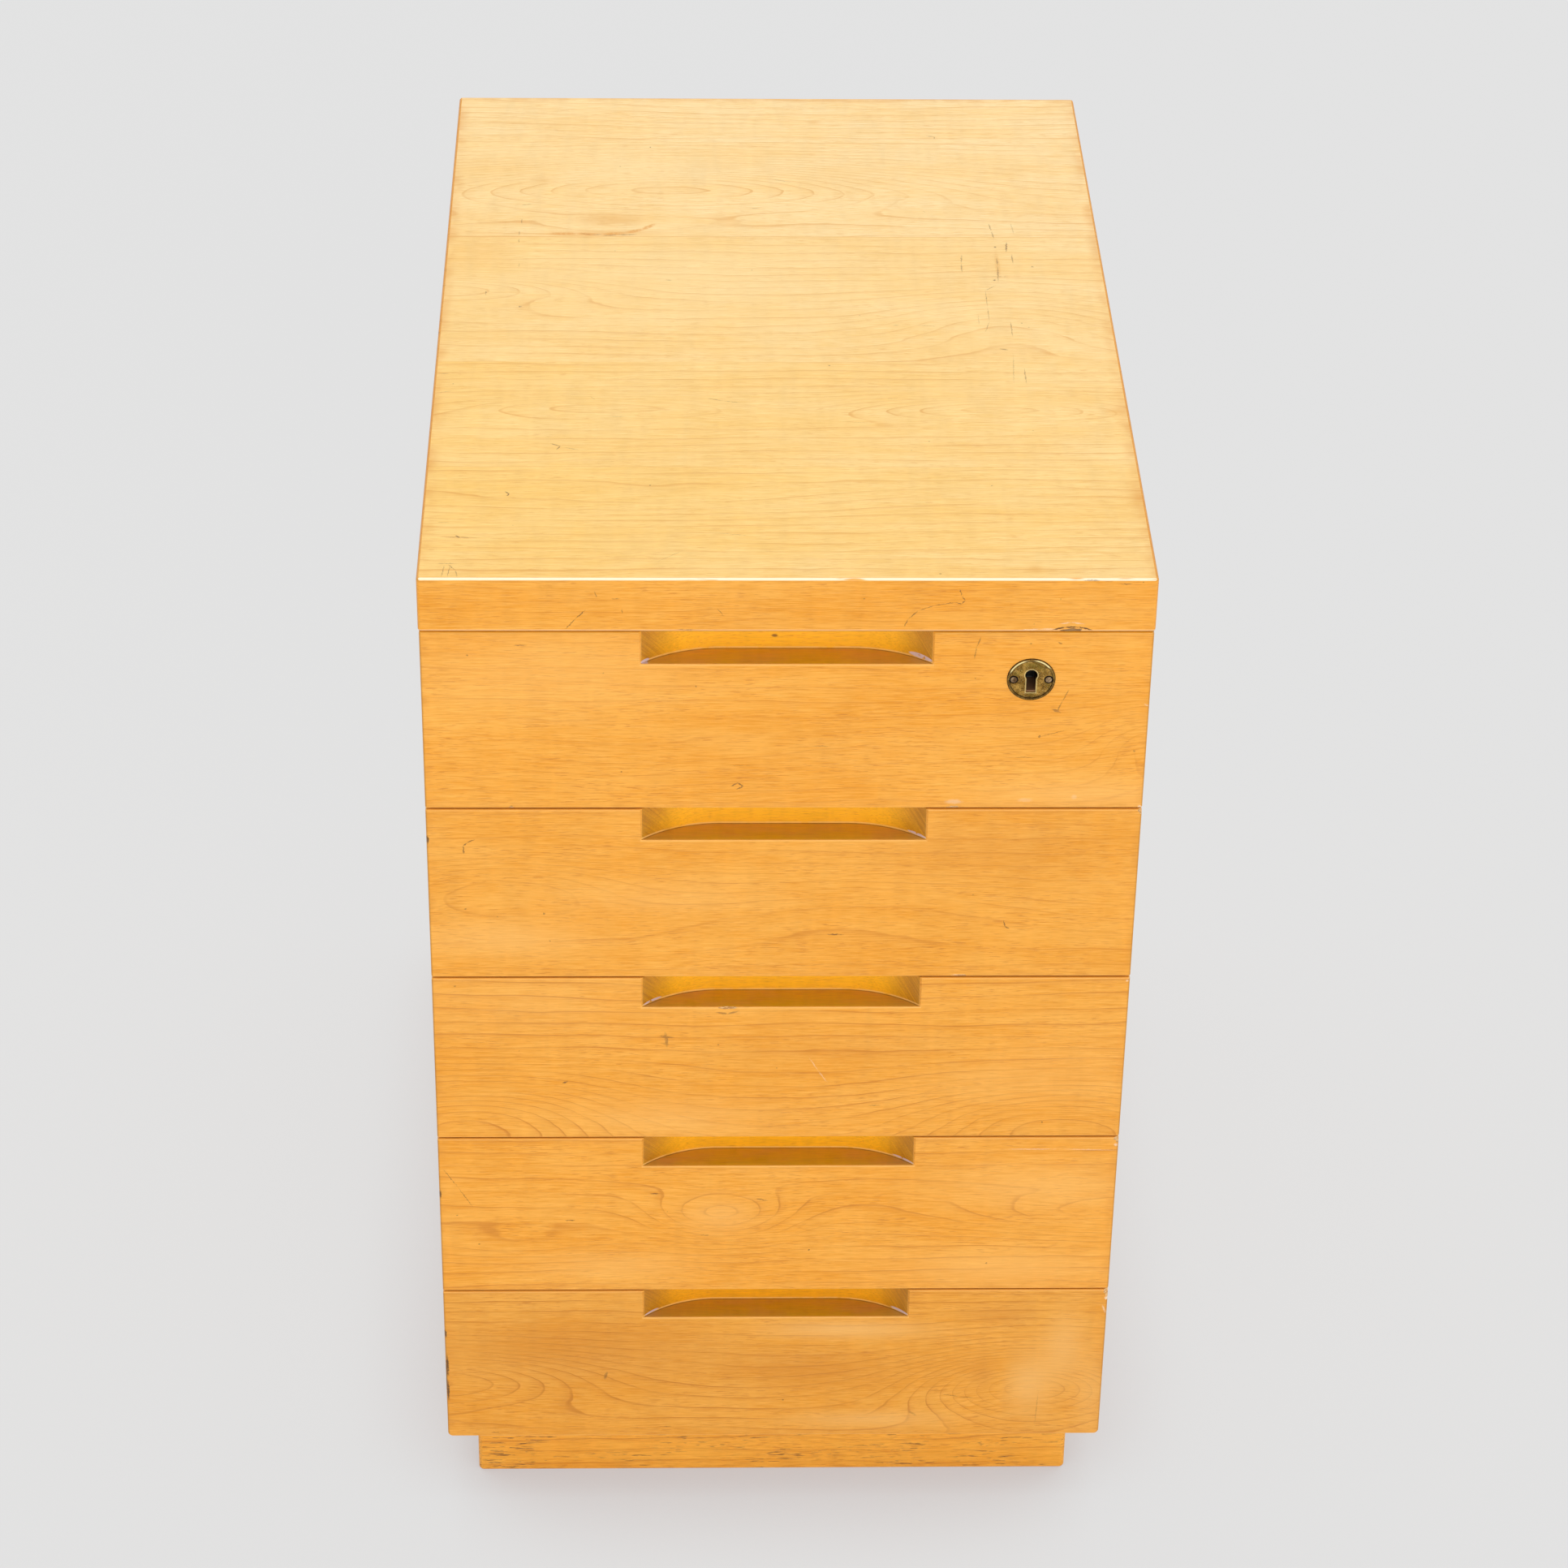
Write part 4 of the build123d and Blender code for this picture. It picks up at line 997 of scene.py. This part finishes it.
def gouge_form(gouges):
    """Lumpy cutters, one for each gouge, in one mesh."""
    form = bmesh.new()
    for index, gouge in enumerate(gouges):
        made = bmesh.ops.create_icosphere(form, subdivisions=4, radius=1.0)
        for vert in made["verts"]:
            bump = space_noise.noise(vert.co * gouge_lumps + Vector((gouge_noise_step * index, 0.0, 0.0)))
            reach = vert.co * (1.0 + gouge_roughness * bump)
            place = [middle + radius * value for middle, radius, value in zip(*gouge, reach)]
            vert.co = Vector(place) * MILLI
    mesh = bpy.data.meshes.new("gouges")
    form.to_mesh(mesh)
    form.free()
    return mesh


def welded_mesh(name, source):
    """The source's triangles with their shared corners joined."""
    form = bmesh.new()
    form.from_mesh(source)
    bmesh.ops.remove_doubles(form, verts=form.verts, dist=weld_distance)
    form.verts.ensure_lookup_table()
    points = [tuple(vert.co) for vert in form.verts]
    faces = [[vert.index for vert in face.verts] for face in form.faces]
    form.free()
    mesh = bpy.data.meshes.new(name)
    mesh.from_pydata(points, [], faces)
    return mesh


def worn_piece(node, body, materials, torn, gouges, second_side):
    """A copy of a node with gouges cut in it, which then stands for the node.

    Faces whose middle is on the second side take the second material.
    """
    piece = bpy.data.objects.new("worn_" + node, welded_mesh("worn_" + node, nodes[node].data))
    for material in materials:
        piece.data.materials.append(material)
    for face in piece.data.polygons:
        face.material_index = int(second_side(face.center * PER_METRE))
    cutter = bpy.data.objects.new("gouges", gouge_form(gouges))
    cutter.data.materials.append(torn)
    for made in (piece, cutter):
        bpy.context.scene.collection.objects.link(made)
    cut = piece.modifiers.new("gouges", "BOOLEAN")
    cut.operation = "DIFFERENCE"
    cut.solver = "EXACT"
    cut.material_mode = "TRANSFER"
    cut.object = cutter
    depsgraph = bpy.context.evaluated_depsgraph_get()
    cut_mesh = bpy.data.meshes.new_from_object(piece.evaluated_get(depsgraph))
    piece.modifiers.clear()
    piece.data = cut_mesh
    bpy.data.objects.remove(cutter)
    cut_mesh.shade_smooth()
    cut_mesh.set_sharp_from_angle(angle=smooth_angle)
    steady = piece.modifiers.new("steady_normals", "WEIGHTED_NORMAL")
    steady.keep_sharp = True
    steady.weight = 100
    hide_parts(node)
    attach(piece, body)


def below_top_face(middle):
    """A test for the faces of the top's edges and underside."""
    return middle.z < top_high.z - top_face_dip


def in_pull(number):
    """A test for the faces of a front's finger pull."""
    low, high = fronts[number]
    lowest = high.z - pull_height - below_pull

    def inside(middle):
        behind_face = low.y + front_round < middle.y < low.y + pull_depth + behind_pull
        return behind_face and abs(middle.x) < pull_half_width + beside_pull and middle.z > lowest

    return inside


# Gouges of the top: one under its front edge, those along its left edge, and its worn corners
left_edge_gouges = {55.0: 3.0, 36.0: 1.8, -6.5: 2.4, -21.0: 1.8}
top_gouges = [
    Gouge((147.0, top_low.y - 0.3, top_low.z - 0.4), (6.6, 1.4, 2.8)),
    *[Gouge((-190.4, y, top_high.z + 0.2), (1.1, reach, 1.2)) for y, reach in left_edge_gouges.items()],
    Gouge((190.6, -240.0, top_high.z + 0.3), (1.2, 3.0, 1.3)),
    Gouge((-190.3, top_low.y - 0.3, top_high.z + 0.3), (1.8, 1.4, 1.4)),
    Gouge((190.3, top_low.y - 0.2, top_low.z - 0.2), (1.6, 1.4, 2.0)),
]

# Gouges of a front: its upper right corner, and chips placed from its middle, its face and its lower edge
corner_radii = {
    1: (1.3, 1.2, 1.4),
    2: (2.4, 2.0, 3.0),
    3: (1.4, 1.3, 1.6),
    4: (3.0, 1.8, 3.4),
    5: (2.8, 2.2, 5.0),
}
ledge_rise = fronts[3][1].z - fronts[3][0].z - pull_height
front_chips = {
    1: [Gouge((89.0, -0.4, 0.0), (4.0, 1.0, 1.6)), Gouge((-144.0, -0.4, 0.0), (1.6, 1.0, 1.3))],
    2: [Gouge((97.0, -0.4, 0.0), (4.0, 1.1, 1.5)), Gouge((-190.0, 0.0, 90.0), (1.2, 1.4, 2.6))],
    3: [Gouge((-29.0, -0.2, ledge_rise), (5.5, 1.3, 1.3))],
    4: [Gouge((-190.0, 0.0, 70.0), (1.2, 1.4, 2.8))],
    5: [Gouge((-190.2, -0.2, 45.0), (1.5, 1.4, 13.0)), Gouge((-190.0, 0.0, 79.0), (1.2, 1.4, 2.4))],
}


def front_gouges(number):
    """The gouges of a front at their places."""
    low, high = fronts[number]
    corner = Gouge((high.x + 0.4, low.y - 0.4, high.z - 0.2), corner_radii[number])
    chips = [Gouge((x, low.y + back, low.z + up), radii) for (x, back, up), radii in front_chips[number]]
    return [corner, *chips]


torn_wood = raw_wood_material()
top_materials = [top_face_material(), top_edge_material()]
worn_piece("top_panel", "carcass", top_materials, torn_wood, top_gouges, below_top_face)
for number in drawer_numbers:
    materials = [front_material(number), pull_material(number)]
    drawer = f"drawer_{number}"
    gouges = front_gouges(number)
    worn_piece(drawer + "_front", drawer, materials, torn_wood, gouges, in_pull(number))

for name, seed in (("side_panel_left", 71.0), ("side_panel_right", 83.0)):
    dress([name], side_material(name, seed))
for name, seed in (("plinth_front", 91.0), ("plinth_back", 94.0)):
    dress([name], plinth_material(name, "xzy", seed))
for name, seed in (("plinth_left", 97.0), ("plinth_right", 101.0)):
    dress([name], plinth_material(name, "yzx", seed))
back_low, back_high = corners("back_panel")
dress(["back_panel"], plywood_material("plywood_back", "zxy", back_low.y, back_high.y, seed=111.0))
dress(["bottom_panel"], box_wood_material("birch_bottom", box_tone, "xyz", seed=113.0))
block_wood = box_wood_material("bare_blocks", bare_tone, "zxy", seed=115.0)
dress(["plinth_corner_blocks", "carcass_dowels"], block_wood)
runners = [f"runner_{side}_{number}" for side in ("left", "right") for number in drawer_numbers]
dress(runners, box_wood_material("bare_runners", bare_tone, "yzx", seed=117.0, lines=1.0))
for number in drawer_numbers:
    drawer = f"drawer_{number}_"
    seed = 120.0 + 7.0 * number
    side_wood = box_wood_material(f"birch_box_sides_{number}", box_tone, "yzx", seed)
    dress([drawer + "side_left", drawer + "side_right"], side_wood)
    dress([drawer + "back"], box_wood_material(f"birch_box_back_{number}", box_tone, "xzy", seed + 2.0))
    bottom_low, bottom_high = corners(drawer + "bottom")
    bottom_wood = plywood_material(f"plywood_{number}", "xyz", bottom_low.z, bottom_high.z, seed + 4.0)
    dress([drawer + "bottom"], bottom_wood)

dress(["escutcheon"], aged_brass_material())
screw_brass = metal_material("screw_brass", (196, 168, 132), (96, 70, 44), seed=131.0, roughness=0.3)
dress(["escutcheon_screws"], screw_brass)
lock_brass = metal_material("lock_brass", (206, 172, 98), (168, 130, 62), seed=133.0, roughness=0.25)
dress(["lock_bolt", "lock_lever"], lock_brass)
zinc = metal_material("zinced_steel", (186, 186, 182), (138, 138, 134), seed=135.0, roughness=0.28)
dress(["lock_back_plate", "lock_case", "lock_lever_spring", "strike_plate"], zinc)
screws = ["lock_screws", "strike_screws", "runner_screws", "back_panel_screws", "plinth_screws"]
dress(screws, metal_material("screw_steel", (170, 168, 162), (108, 104, 98), seed=137.0, roughness=0.32))


# Studio
floor_half = 6.0
shown_grey = (226, 226, 226)
paper_grey = (224, 224, 224)
near_shade = (205, 197, 195)
shade_reach = 0.13
floor_glow_share = 0.9
world_light = 0.5


def seen_directly(graph):
    """1 for what the camera, metal and glass see, and 0 for the light on the object."""
    path = graph.node("LightPath")
    seen = Signal(graph, path.outputs["Is Camera Ray"])
    for name in ("Is Glossy Ray", "Is Transmission Ray"):
        seen = seen.at_least(Signal(graph, path.outputs[name]))
    return seen


def close_studio(graph, output, share, lighting, shown):
    """Close a graph with a mix of what lights the object and what is seen directly."""
    graph.node(output, {0: graph.signal("MixShader", 0, {0: share, 1: lighting, 2: shown})})


def floor_material():
    """Pale paper that keeps its colour near the object, with a painted shade there, and still takes its
    shadow.
    """
    graph = Surface("floor_paper")
    paper = graph.mix(graph.noise(graph.place, (400, 400, 400)), paper_grey, shown_grey)
    diffuse = graph.signal("BsdfDiffuse", 0, {"Color": paper})
    open_share = graph.signal("AmbientOcclusion", "AO", {"Distance": shade_reach}).ramp(0.2, 0.86)
    glow = graph.signal("Emission", 0, {"Color": graph.mix(open_share, near_shade, shown_grey)})
    close_studio(graph, "OutputMaterial", seen_directly(graph) * floor_glow_share, diffuse, glow)
    return graph.owner


def studio_floor():
    """A wide level floor, which isn't part of the object."""
    mesh = bpy.data.meshes.new("floor")
    form = bmesh.new()
    bmesh.ops.create_grid(form, x_segments=1, y_segments=1, size=floor_half)
    form.to_mesh(mesh)
    form.free()
    floor = bpy.data.objects.new("floor", mesh)
    bpy.context.scene.collection.objects.link(floor)
    mesh.materials.append(floor_material())


def studio_air():
    """Even light from all around, and a plain backdrop."""
    graph = Graph(bpy.data.worlds.new("studio_air"))
    lighting = graph.signal("Background", 0, {"Color": (1.0, 1.0, 1.0, 1.0), "Strength": world_light})
    backdrop = graph.signal("Background", 0, {"Color": shown_colour(shown_grey), "Strength": 1.0})
    close_studio(graph, "OutputWorld", seen_directly(graph), lighting, backdrop)
    bpy.context.scene.world = graph.owner


Lamp = namedtuple("Lamp", "name bearing height angle energy")

# Bearings in degrees from the front towards the right, heights in degrees above level
lamps = [
    Lamp("front_softbox", 12, 12, 40, 1.45),
    Lamp("overhead_softbox", 170, 78, 50, 1.22),
    Lamp("left_fill", -115, 20, 60, 0.55),
    Lamp("right_fill", 115, 20, 60, 0.45),
]


def studio_lamps():
    """Wide soft lamps that stand for softboxes."""
    for lamp in lamps:
        data = bpy.data.lights.new(lamp.name, "SUN")
        data.angle = radians(lamp.angle)
        data.energy = lamp.energy
        light = bpy.data.objects.new(lamp.name, data)
        light.rotation_euler = (radians(90 - lamp.height), 0.0, radians(lamp.bearing))
        bpy.context.scene.collection.objects.link(light)


studio_floor()
studio_air()
studio_lamps()

# Camera, fitted to the edges in the photograph
camera_place = Vector((-0.0616, -2.2347, 1.7922))
camera_yaw = 0.0314273
camera_pitch = 0.5847160
camera_roll = 0.0168385
camera_lens = 101.798
camera_sensor = 36.0


def photo_camera():
    """The camera of the photograph, from its place, its turns and its lens."""
    forward = Vector(
        (sin(camera_yaw) * cos(camera_pitch), cos(camera_yaw) * cos(camera_pitch), -sin(camera_pitch))
    )
    level_right = Vector((cos(camera_yaw), -sin(camera_yaw), 0.0))
    level_up = level_right.cross(forward)
    right = cos(camera_roll) * level_right + sin(camera_roll) * level_up
    up = cos(camera_roll) * level_up - sin(camera_roll) * level_right
    data = bpy.data.cameras.new("photo_camera")
    data.lens = camera_lens
    data.sensor_width = camera_sensor
    camera = bpy.data.objects.new("photo_camera", data)
    turn = Matrix((right, up, -forward)).transposed().to_4x4()
    camera.matrix_world = Matrix.Translation(camera_place) @ turn
    bpy.context.scene.collection.objects.link(camera)
    bpy.context.scene.camera = camera


photo_camera()

bpy.context.scene.view_settings.view_transform = "Standard"
